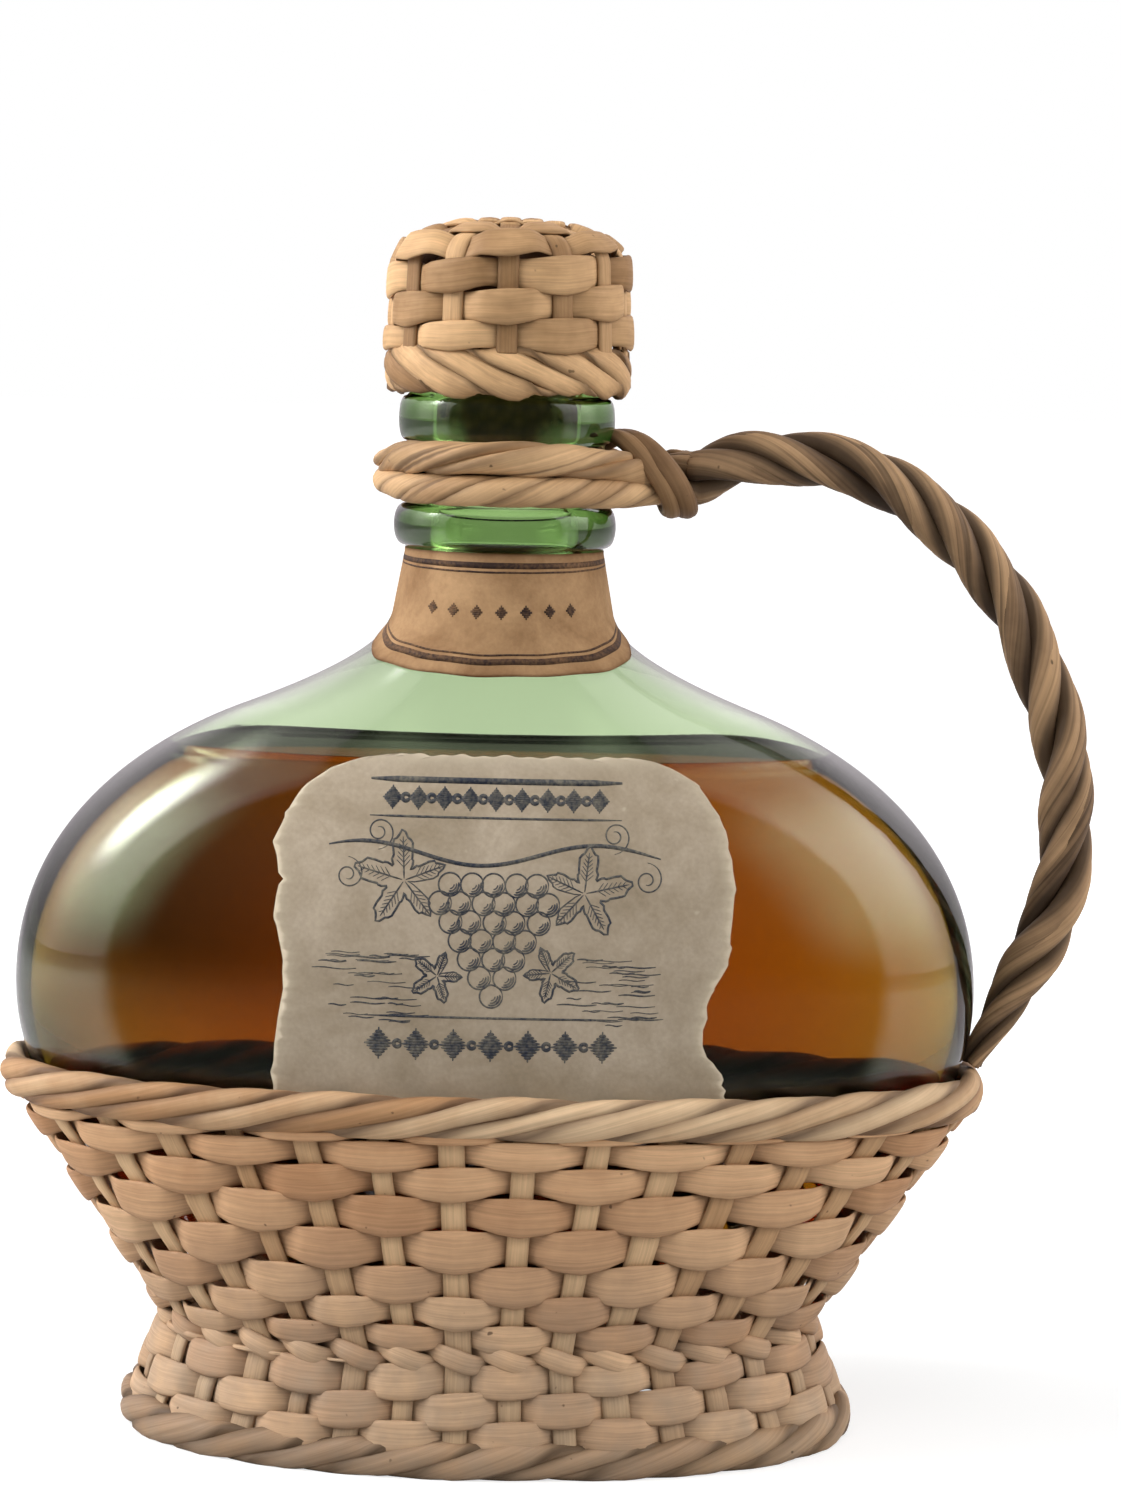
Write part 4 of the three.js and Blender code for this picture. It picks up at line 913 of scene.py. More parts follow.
@dataclass
class FrontLabel(Label):
    """Torn parchment with a vine print of its own design."""

    bottom: float = 57.0
    top: float = 108.6
    corner: float = 15.0
    half: float = 34.7
    aside: float = 1.4  # how far the sheet is stuck to the right of the middle
    # Torn sides: how far each is drawn in, by the share of the height
    left_tear: tuple[tuple[float, float], ...] = ((0, 0.6), (0.16, 0.8), (0.27, 2.0), (0.42, 2.2), (0.52, 0.4),
                                                  (0.63, 1.2), (0.74, 0.2), (1, 0))
    right_tear: tuple[tuple[float, float], ...] = ((0, 0.4), (0.08, 1.0), (0.17, 4.4), (0.3, 4.0), (0.42, 0.8),
                                                   (0.65, 0.0), (0.76, 1.0), (1, 0))

    def edge(self, v: np.ndarray, is_right: bool) -> np.ndarray:
        """Half width of the torn sheet.

        Args:
            v: shares of its height.
            is_right: whether the right side is asked for.

        Returns:
            Distances from the flask's middle.
        """
        height = self.top - self.bottom
        over = np.clip((v * height - (height - self.corner)) / self.corner, 0, 0.999)
        tear = np.interp(v, *np.array(self.right_tear if is_right else self.left_tear).T)
        phase = 1.3 if is_right else 0.0
        deckle = 0.3 * np.sin(61 * v + phase) * np.sin(23 * v + 2 * phase) + 0.18 * np.sin(150 * v + 3 * phase)
        deckle += 0.22 * np.sin(290 * v + phase) * np.sin(83 * v + phase)
        aside = self.aside if is_right else -self.aside
        return self.half + aside - tear - deckle - self.corner * 1.15 * (1 - np.sqrt(1 - over**2))

    def place(self, u: np.ndarray, v: np.ndarray, offset: np.ndarray) -> np.ndarray:
        """Points on the flask for shares across and up the sheet, moved outwards by an offset."""
        ripple = 0.25 * np.sin(u * 24) * np.sin(u * 9 + 1) * v**4
        z = self.bottom + (self.top - self.bottom) * v + ripple
        return self.flask.front_point(u * self.edge(v, u > 0), z, offset)

    def leaf(self, x: float, z: float, size: float, turn: float) -> Lines:
        """Five-lobed vine leaf with veins and hatching.

        Args:
            x: its middle's place across the flat label.
            z: its middle's height.
            size: its reach in millimetres.
            turn: the direction of its tip in degrees.

        Returns:
            Its lines.
        """
        centre, turn = np.array([x, z]), math.radians(turn)
        angle = np.linspace(-math.pi, math.pi, 90)
        reach = size * (0.62 + 0.3 * np.cos(5 * angle) + 0.1 * np.cos(angle) + 0.05 * np.cos(25 * angle))
        reach *= 1 - 0.55 * np.exp(-((np.abs(angle) - math.pi) ** 2) / 0.05)
        lines = [(circle(x, z, reach, angle + turn), 0.34)]
        for lobe in (-2, -1, 0, 1, 2):
            a = turn + lobe * TURN / 5
            tip = circle(0, 0, size * (0.86 if lobe else 0.98), a)
            lines.append((centre + tip * np.linspace(0.04, 1, 8)[:, None], 0.24))
            for t in np.linspace(0.3, 0.85, 6):
                for way in (-1, 1):
                    step = circle(0, 0, size * 0.26 * (1 - t * 0.7), a + way * 0.75)
                    lines.append((centre + tip * t + step * np.linspace(0, 1, 4)[:, None], 0.13))
        return lines

    def sprig(self) -> Lines:
        """Bunch of grapes between two leaves, with tendrils, ground lines and ruled bands.

        Returns:
            The lines of the whole print.
        """
        lines = []
        ring = np.linspace(0, TURN, 26)
        middle = (self.bottom + self.top) / 2
        for row, count in enumerate((5, 6, 5, 4, 3, 2, 1)):
            for i in range(count):
                x = (i - (count - 1) / 2) * 3.3 + 0.25 * math.sin(3 * i + row)
                z = middle + 7.2 - row * 2.75
                lines.append((circle(x, z, 1.72, ring), 0.26))
                for k, reach in enumerate((1.35, 1.0, 0.62)):
                    arc = np.linspace(-1.9 + 0.16 * k, 0.25 - 0.1 * k, 10)
                    lines.append((circle(x, z, reach, arc), 0.3 - 0.05 * k))
        for x, rise, size, turn in ((-13.5, 7.6, 7.4, 165), (13.6, 6.2, 7.0, 12), (-8.2, -6.4, 4.2, 215),
                                    (8.8, -5.6, 4.6, -30)):
            lines += self.leaf(x, middle + rise, size, turn)
        t = np.linspace(0, 1, 40)
        lines.append((np.stack([-25 + 50 * t, middle + 11.6 + 1.6 * np.sin(9 * t + 0.6)], -1), 0.6))
        for x, way in ((-22, -1), (-17.5, 1), (18, 1), (23, -1)):
            a = np.linspace(0, 3.1 * math.pi, 60)
            reach = 2.6 * np.exp(-a / 7)
            curl = np.stack([x + reach * np.sin(a), middle + 11.4 + way * (3.2 - reach * np.cos(a))], -1)
            lines.append((curl, 0.22))
        rng = np.random.default_rng(11)
        for side in (-1, 1):
            for _ in range(34):
                z = middle - 3 - 10.5 * rng.random()
                start = side * (12 + 12 * rng.random())
                length = 2 + 5 * rng.random()
                t = np.linspace(0, 1, 8)
                stroke = np.stack([start + length * (t - 0.5), z + 0.1 * np.sin(7 * t)], -1)
                lines.append((stroke, 0.12 + 0.16 * rng.random()))
        for z, width in ((self.top - 3.6, 0.9), (self.top - 8.9, 0.35), (self.bottom + 13.2, 0.35)):
            lines.append((rule(0, 19, z, 60), width))
        for level, size, pitch, count in ((self.bottom + 9, 2.2, 5.6, 7), (self.top - 6.2, 1.5, 3.9, 9)):
            for i in range(count):
                x = (i - (count - 1) / 2) * pitch
                for k in np.linspace(-1, 1, 11):
                    lines.append((rule(x, 0.95 * size * (1 - abs(k)) + 0.12, level + size * k, 6), 0.5))
                if i < count - 1:
                    lines.append((circle(x + pitch / 2, level, 0.5, ring), 0.6))
        return lines

    def stroke(self, line: np.ndarray, width: float) -> tuple[np.ndarray, np.ndarray]:
        """Two edges of a printed line, which is thinner at its ends.

        Args:
            line: its points on the flat label.
            width: its width in millimetres.

        Returns:
            The points of its edges.
        """
        tangent = unit(np.gradient(line, axis=0))
        side = np.stack([-tangent[:, 1], tangent[:, 0]], -1)
        share = np.linspace(0, 1, len(line))
        half = np.maximum(width / 2 * np.minimum(1, 6 * np.minimum(share, 1 - share) + 0.35), 0.05)[:, None]
        return line + side * half, line - side * half

    def build(self) -> None:
        """Makes the sheet and its print."""
        self.sheet("torn_parchment", PARCHMENT, Slot.PARCHMENT, "front_label", 180)
        strips = [self.stroke(*line) for line in self.sprig()]
        self.print_strips(strips, self.flask.front_point, "vine_print", LABEL_INK, Slot.PARCHMENT)


@dataclass
class NeckLabel(Label):
    """Tan paper round the front of the neck, ruled along both edges."""

    top: float = 138.9
    height: float = 18.6
    half_angle: float = 1.72
    dip: float = 0.36

    def place(self, u: np.ndarray, v: np.ndarray, offset: np.ndarray) -> np.ndarray:
        """Points on the flask for shares across and up the sheet, moved outwards by an offset."""
        deckle = 0.14 * np.sin(u * 19) * np.sin(u * 7 + 2) * (1 - v)
        level = self.top - (1 - v) * self.height * (1 - self.dip * np.abs(u) ** 2.2) + deckle
        return self.flask.point(FRONT + u * self.half_angle, level, offset)

    def rules(self) -> Lines:
        """Thick and thin rules along the edges and a row of lozenges, on shares across and up."""
        lines = [(rule(0, 0.97, v, 120), w) for v, w in ((0.9, 0.05), (0.845, 0.016), (0.12, 0.05), (0.175, 0.016))]
        return lines + [(rule((i - 3) * 0.13, 0.028 * (1 - abs(k)) + 0.004, 0.52 + 0.05 * k, 5), 0.018)
                        for i in range(7) for k in np.linspace(-1, 1, 7)]

    def build(self) -> None:
        """Makes the sheet and its rules."""
        self.sheet("tan_neck_paper", TAN_PAPER, Slot.BROWN_PAPER, "neck_label", 40)
        strips = [(line + [0, width / 2], line - [0, width / 2]) for line, width in self.rules()]
        self.print_strips(strips, self.place, "neck_rules", NECK_INK, Slot.BROWN_PAPER)


# Places along a skein, in shares of the way from over one stake to behind the next
REACHES = (0.0, 0.25, 0.5, 0.78, 1.0)


@dataclass
class Skein:
    """One skein woven round stakes, outside one and inside the next. Sizes in millimetres."""

    surface: Surface
    angles: np.ndarray  # the stakes' places
    first: float  # in turns
    last: float
    edge: Callable[[np.ndarray], np.ndarray]  # level of its lower edge by turn; its upper edge is a turn on
    offset: float
    thickness: float
    swell: tuple[float, ...]  # width at each place in REACHES
    steps: int = 12  # for each stake

    def weave(self, mesh: StripMesh, rng: np.random.Generator) -> None:
        """Adds the skein to a mesh.

        Args:
            mesh: the mesh.
            rng: source of the small differences between its crossings.
        """
        count = len(self.angles)
        first, last = self.first * count, self.last * count
        s = np.arange(round(first * self.steps), round(last * self.steps) + 1) / self.steps
        whole = np.arange(int(last) + 3)
        angle = np.interp(s, whole, self.angles[whole % count] + TURN * (whole // count))
        low, high = self.edge(s / count), self.edge(s / count + 1)
        pitch = high - low
        from_over = np.abs(s % 2 - 1)
        crossing = np.floor(s / 2).astype(int)
        size = crossing.max() + 2
        tone, shift, grow = rng.random(size), rng.normal(0, 0.03, size), rng.normal(1, 0.04, size)
        tilt = rng.normal(0.02, 0.06, size)
        apart = smooth(0.55, 1.0, from_over)
        width = pitch * np.interp(from_over, REACHES, self.swell) * (grow[crossing] * (1 - apart) + apart)
        lean = shift[crossing] + tilt[crossing] * (s % 2 - 1)
        # A strip swells more at its lower edge, where it hangs over its stake
        level = (low + high) / 2 + pitch * lean * (1 - apart) - 0.3 * np.maximum(width - pitch, 0)
        offset = self.offset * (1 - 2 * smooth(0.36, 0.97, from_over))
        point, _, up, out = directions(self.surface, angle, level)
        centre = point + out * offset[:, None]
        side, normal, along = lay(centre, up, out)
        thickness = self.thickness * (1 + 0.3 * (1 - smooth(0, 0.6, from_over)))
        rings, across = SKEIN.rings(centre, side, normal, width, thickness)
        # Painted shade: darker where the skein goes in behind the next stake, and at its edges
        shade = 0.25 * smooth(0.6, 0.85, from_over)[:, None] + 0.3 * SKEIN.edge()
        mesh.loft(rings, along, across, tone[crossing], shade)


@dataclass
class RolledBorder:
    """Strands rolled round each other along a closed line. Sizes in millimetres."""

    surface: Surface
    level: float
    strands: int
    bands: int
    half_thickness: float
    half_height: float
    width: float
    thickness: float
    way: int = 1  # 1 where bands rise to the right seen from outside
    floor: float = -math.inf  # height under which nothing reaches
    shingle: float = 0.22  # how far each band is turned over the next, in radians
    steps: int = 26  # for each band
    round_length: float = 330.0  # about the length of one round, for the grain

    def roll(self, mesh: StripMesh, rng: np.random.Generator) -> None:
        """Adds the border to a mesh.

        Args:
            mesh: the mesh.
            rng: source of the small differences between bands.
        """
        total = self.bands * self.steps
        s = np.arange(total) / total * self.strands
        table = equal_angles(self.surface, self.level, 720)
        angle = np.interp(s % 1, np.linspace(0, 1, 721), np.append(table, table[0] + TURN))
        phase = TURN * self.bands / self.strands * s + math.pi
        band = np.floor(phase / TURN + 0.5).astype(int) % self.bands
        tone, grow, shift = rng.random(self.bands), rng.normal(1, 0.11, self.bands), rng.normal(0, 0.2, self.bands)
        turned = rng.normal(self.shingle, 0.1, self.bands)
        outside = smooth(-0.5, 0.9, np.cos(phase))
        growth = 1 + (grow[band] - 1) * outside
        point, _, up, out = directions(self.surface, angle, self.level)
        c, sn = np.cos(phase)[:, None], self.way * np.sin(phase)[:, None]
        reach_out = self.half_thickness - self.thickness / 2
        reach_up = self.half_height - self.thickness / 2 + (shift[band] * outside)[:, None]
        centre = point + out * reach_out * c + up * reach_up * sn
        tangent, _ = along_path(centre, True)
        side = unit(np.cross(unit(out * c * reach_up + up * sn * reach_out), tangent))
        normal = np.cross(tangent, side)
        # Each band lies a little over the next, as its strand is turned in the rolling
        turn = (turned[band] * outside)[:, None]
        side, normal = side * np.cos(turn) + normal * np.sin(turn), normal * np.cos(turn) - side * np.sin(turn)
        rings, across = STRAND.rings(centre, side, normal, self.width * (0.78 + 0.22 * outside) * growth,
                                     self.thickness * (0.8 + 0.2 * outside) * growth)
        rings[..., 2] = np.maximum(rings[..., 2], self.floor)
        # Painted shade: darker where a strand turns in behind the others, and at its edges
        shade = np.clip(0.4 * (1 - outside)[:, None] + 0.8 * STRAND.edge(), 0, 1)
        mesh.loft(rings, s * self.round_length, across, tone[band], shade, True)
        # A core fills the roll, painted fully dark as the shade between the strands
        point, _, up, out = directions(self.surface, np.linspace(0, TURN, 240, endpoint=False), self.level)
        rings, across = STRAND.rings(point, up, out, 1.1 * self.half_height, self.half_thickness)
        rings[..., 2] = np.maximum(rings[..., 2], self.floor)
        mesh.loft(rings, np.arange(240), across, 1.0, 1.0, True)


@dataclass
class Plait:
    """Flat plain weave of straight strips inside an oval. Sizes in millimetres."""

    half_width: float
    half_depth: float
    power: float
    level: float
    pitch: float
    strip: float
    thickness: float
    wave: float
    dome: float = 0.0

    def weave(self, mesh: StripMesh, rng: np.random.Generator) -> None:
        """Adds the strips to a mesh.

        Args:
            mesh: the mesh.
            rng: source of the strips' tones.
        """
        for is_cross in (False, True):
            long, wide = (self.half_depth, self.half_width) if is_cross else (self.half_width, self.half_depth)
            rows = int(wide / self.pitch)
            for row in range(-rows, rows + 1):
                y = row * self.pitch
                half = long * (1 - (abs(y) / wide) ** self.power) ** (1 / self.power) if abs(y) < wide else 0
                if half < self.pitch:
                    continue
                x = np.linspace(-half, half, max(8, int(half / self.pitch * 16)))
                over = np.cos(math.pi * (x / self.pitch + row + is_cross))
                z = self.level + self.wave * over + self.dome * (1 - (x / long) ** 2 - (y / wide) ** 2)
                flat = np.full_like(x, y)
                centre = np.stack([flat, x, z] if is_cross else [x, flat, z], -1)
                tangent, along = along_path(centre)
                side = np.broadcast_to(np.array([1.0, 0, 0] if is_cross else [0, 1.0, 0]), centre.shape)
                normal = np.cross(tangent, side)
                normal *= np.sign(normal[:, 2:3])
                rings, across = SKEIN.rings(centre, side, normal, self.strip, self.thickness)
                # Painted shade: darker where a strip goes under the crossing strips, and at its edges
                mesh.loft(rings, along, across, rng.random(), 0.125 * (1 - over)[:, None] + 0.3 * SKEIN.edge())


@dataclass
class Basket:
    """Woven basket that holds the flask, on a flared foot. Sizes in millimetres."""

    flask: Flask
    stakes: int = 33
    stake_width: float = 3.9
    stake_thickness: float = 1.1
    skein: float = 0.9
    gap: float = 0.5
    fit: float = 0.3
    waist: float = 17.8
    waist_half: tuple[float, float] = (50.7, 33.0)
    foot_half: tuple[float, float] = (56.2, 35.2)
    foot_centre: float = 2.4
    rim: float = 55.0
    rim_half_height: float = 3.6
    foot_half_height: float = 3.3
    border_half: float = 2.3
    stake_low: float = 4.5
    stake_high: float = 52.6
    wall_low: float = 19.4
    wall_high: float = 52.4
    wall_rounds: float = 7.3
    wall_swing: float = 0.22
    wall_turns: tuple[float, float] = (7.0, 7.7)  # ends of the first skein and of the one that goes on from it
    wall_swell: tuple[float, ...] = (1.28, 1.17, 1.03, 0.92, 0.95)
    foot_low: float = 4.1
    foot_high: float = 16.9
    foot_rounds: float = 3.0
    foot_turns: tuple[float, float] = (3.0, 3.42)
    foot_swell: tuple[float, ...] = (1.36, 1.3, 1.2, 1.12, 1.2)
    offset: float = 1.2
    stake_wave: float = 0.28
    twine_rise: float = 0.95
    twine_out: float = 1.45
    twine_steps: int = 14  # for each stake
    inset: float = field(init=False)  # from the wall's middle to what it clears
    lean: list[float] = field(init=False)  # of the wall, across and in depth
    angles: np.ndarray = field(init=False)

    def __post_init__(self) -> None:
        """Works out the wall's lean and the stakes' places."""
        self.inset = self.stake_thickness / 2 + self.skein + self.gap + self.fit
        self.lean = []
        z = np.arange(self.waist + 8, self.rim + 1e-6, 1)
        for waist, axis in zip(self.waist_half, self.flask.axes):
            lean = 0.0
            for _ in range(4):
                room = self.inset * math.hypot(1, lean)
                need = (self.flask.half(z, *axis) + room - waist) / (z - self.waist)
                lean = max(lean, float(need.max()))
            self.lean.append(lean)
        self.angles = equal_angles(self.wall, (self.waist + self.rim) / 2, self.stakes)

    def wall(self, angle: np.ndarray, z: np.ndarray) -> np.ndarray:
        """Points on the middle surface of the wall and foot.

        Args:
            angle: angles round the middle.
            z: heights.

        Returns:
            The points.
        """
        rise = np.asarray(z, float) - self.waist
        sizes = []
        for waist, foot, lean in zip(self.waist_half, self.foot_half, self.lean):
            flare = (foot - waist) / (self.waist - self.foot_centre)
            sizes.append(waist + np.where(rise > 0, lean * rise, -flare * rise))
        return oval(angle, *sizes, self.flask.squareness, z)

    def rim_line(self, angle: np.ndarray, z: np.ndarray) -> np.ndarray:
        """Points on the upright surface through the rim's line.

        Args:
            angle: angles round the middle.
            z: heights.

        Returns:
            The points.
        """
        t = np.arange(-1, 1.01, 0.1)
        inward = self.border_half * np.sqrt(np.clip(1 - t**2, 0, 1)) + self.fit
        level = self.rim + t * self.rim_half_height
        sizes = [(self.flask.half(level, *axis) + inward).max() for axis in self.flask.axes]
        return oval(angle, *sizes, self.flask.squareness, z)

    def foot_line(self, angle: np.ndarray, z: np.ndarray) -> np.ndarray:
        """Points on the upright surface through the foot's border."""
        return oval(angle, *self.foot_half, self.flask.squareness, z)

    def wall_edge(self, turn: np.ndarray) -> np.ndarray:
        """Lower edge of the wall's skein: close rounds at the waist and rim, wider ones between."""
        u = np.clip((turn - 0.5) / self.wall_rounds, 0, 1)
        return self.wall_low + (self.wall_high - self.wall_low) * (u - self.wall_swing * np.sin(TURN * u) / TURN)

    def foot_edge(self, turn: np.ndarray) -> np.ndarray:
        """Lower edge of the foot's skein."""
        u = np.clip((turn - 0.5) / self.foot_rounds, 0, 1)
        return self.foot_low + (self.foot_high - self.foot_low) * u

    def stake_offset(self, number: int, z: np.ndarray) -> np.ndarray:
        """How far a stake is pushed out or in by the rounds that cross it.

        Args:
            number: the stake's number.
            z: heights.

        Returns:
            Distances outwards.
        """
        levels, sides = [], []
        for edge, turns in ((self.foot_edge, self.foot_turns), (self.wall_edge, self.wall_turns)):
            k = np.arange(number, turns[0] * self.stakes + 1, self.stakes)
            turn = k / self.stakes
            levels += list((edge(turn) + edge(turn + 1)) / 2)
            sides += list(np.where(k % 2, -1.0, 1.0))
        order = np.argsort(levels)
        return self.stake_wave * np.interp(z, np.array(levels)[order], np.array(sides)[order])

    def build_stakes(self, rng: np.random.Generator) -> None:
        """Makes the upright stakes.

        Args:
            rng: source of their widths and tones.
        """
        mesh = StripMesh(self.flask.origin)
        z = np.linspace(self.stake_low, self.stake_high, 120)
        for i, place in enumerate(self.angles):
            point, around, _, out = directions(self.wall, place, z)
            centre = point + out * self.stake_offset(i, z)[:, None]
            side, normal, along = lay(centre, around, out)
            width = self.stake_width * rng.normal(1, 0.11) * (1 + 0.04 * np.sin(z / 5 + i))
            rings, across = SKEIN.rings(centre, side, normal, width, self.stake_thickness)
            # A little darker all over, and darker at the edges as painted shade
            mesh.loft(rings, along, across, rng.random(), 0.12 + 0.3 * SKEIN.edge()[None])
        names = [f"stake_{i + 1:02d}" for i in range(self.stakes)]
        mesh.build("willow_stakes", STAKE_WILLOW.make(), Body.FLASK, Slot.PALE_WILLOW, *names)

    def build_twine(self, rng: np.random.Generator, material: bpy.types.Material) -> None:
        """Makes the two strands twined round the stakes at the waist.

        Args:
            rng: source of their tones.
            material: their finish.
        """
        mesh = StripMesh(self.flask.origin)
        s = np.arange(self.stakes * self.twine_steps) / self.twine_steps
        angle = np.interp(s, np.arange(self.stakes + 1), np.append(self.angles, self.angles[0] + TURN))
        point, _, _, out = directions(self.wall, angle, self.waist)
        out = unit(out * [1, 1, 0])
        for phase in (s, s + 1):
            # The odd count of stakes leaves one place at the back where both strands cross the same way
            from_over = np.abs(phase % 2 - 1)
            rise = -self.twine_rise * np.sin(math.pi * (phase - 1))
            rise *= smooth(0, 0.5, s) * smooth(0, 0.5, self.stakes - s)
            out_by = self.twine_out * (1 - 2 * smooth(0.1, 0.9, from_over))
            crossing = np.floor(phase / 2).astype(int)
            tone = rng.random(crossing.max() + 1)
            centre = point + out * out_by[:, None] + UPRIGHT * rise[:, None]
            side, normal, along = lay(centre, UPRIGHT, out)
            width = np.interp(from_over, (0, 0.3, 0.62, 1), (3.4, 3.2, 2.3, 2.0))
            thickness = np.interp(from_over, (0, 0.6, 1), (1.7, 1.1, 1.0))
            rings, across = STRAND.rings(centre, side, normal, width, thickness)
            # Painted shade: darker where a strand goes in behind a stake, and at its edges
            shade = np.clip(0.6 * smooth(0.4, 0.75, from_over)[:, None] + 0.35 * STRAND.edge(6), 0, 1)
            mesh.loft(rings, along, across, tone[crossing], shade)
        mesh.build("waist_twine", material, Body.FLASK, Slot.PALE_WILLOW, "waist_strand_1", "waist_strand_2")

    def build(self) -> None:
        """Makes the whole basket."""
        # Two sources, so that the skeins that go on at the back leave the other draws as they are
        rng, ends = np.random.default_rng(7), np.random.default_rng(11)
        origin = self.flask.origin
        wall = WALL_WILLOW.make()
        self.build_stakes(rng)
        # A second skein goes on where the first ends at the back, and tapers out under the rim or the waist
        for name, edge, turns, swell, slot, node in (
            ("wall_weave", self.wall_edge, self.wall_turns, self.wall_swell, Slot.PALE_WILLOW, "body_weaver"),
            ("foot_weave", self.foot_edge, self.foot_turns, self.foot_swell, Slot.GREY_WILLOW, "foot_weaver"),
        ):
            mesh = StripMesh(origin)
            for first, last, source in ((0, turns[0], rng), (*turns, ends)):
                Skein(self.wall, self.angles, first, last, edge, self.offset, self.skein, swell).weave(mesh, source)
            mesh.build(name, wall, Body.FLASK, slot, node)
        self.build_twine(rng, wall)
        mesh = StripMesh(origin)
        RolledBorder(self.rim_line, self.rim, 4, 27, self.border_half, self.rim_half_height, 3.6, 3.0).roll(mesh, rng)
        mesh.build("rim_roll", RIM_WILLOW.make(), Body.FLASK, Slot.CREAM_WILLOW, "rim_strand_1", "rim_strand_2")
        mesh = StripMesh(origin)
        RolledBorder(self.foot_line, self.foot_centre, 3, 23, self.border_half, self.foot_half_height, 4.2, 3.2,
                     floor=0.0).roll(mesh, rng)
        mesh.build("foot_roll", FOOT_WILLOW.make(), Body.FLASK, Slot.GREY_WILLOW, "foot_strand_1", "foot_strand_2")
        mesh = StripMesh(origin)
        Plait(self.waist_half[0] - self.inset, self.waist_half[1] - self.inset, self.flask.squareness, self.waist,
              pitch=6.2, strip=5.9, thickness=1.0, wave=0.62).weave(mesh, rng)
        mesh.build("plaited_base", FOOT_WILLOW.make(), Body.FLASK, Slot.GREY_WILLOW, "base_mat")


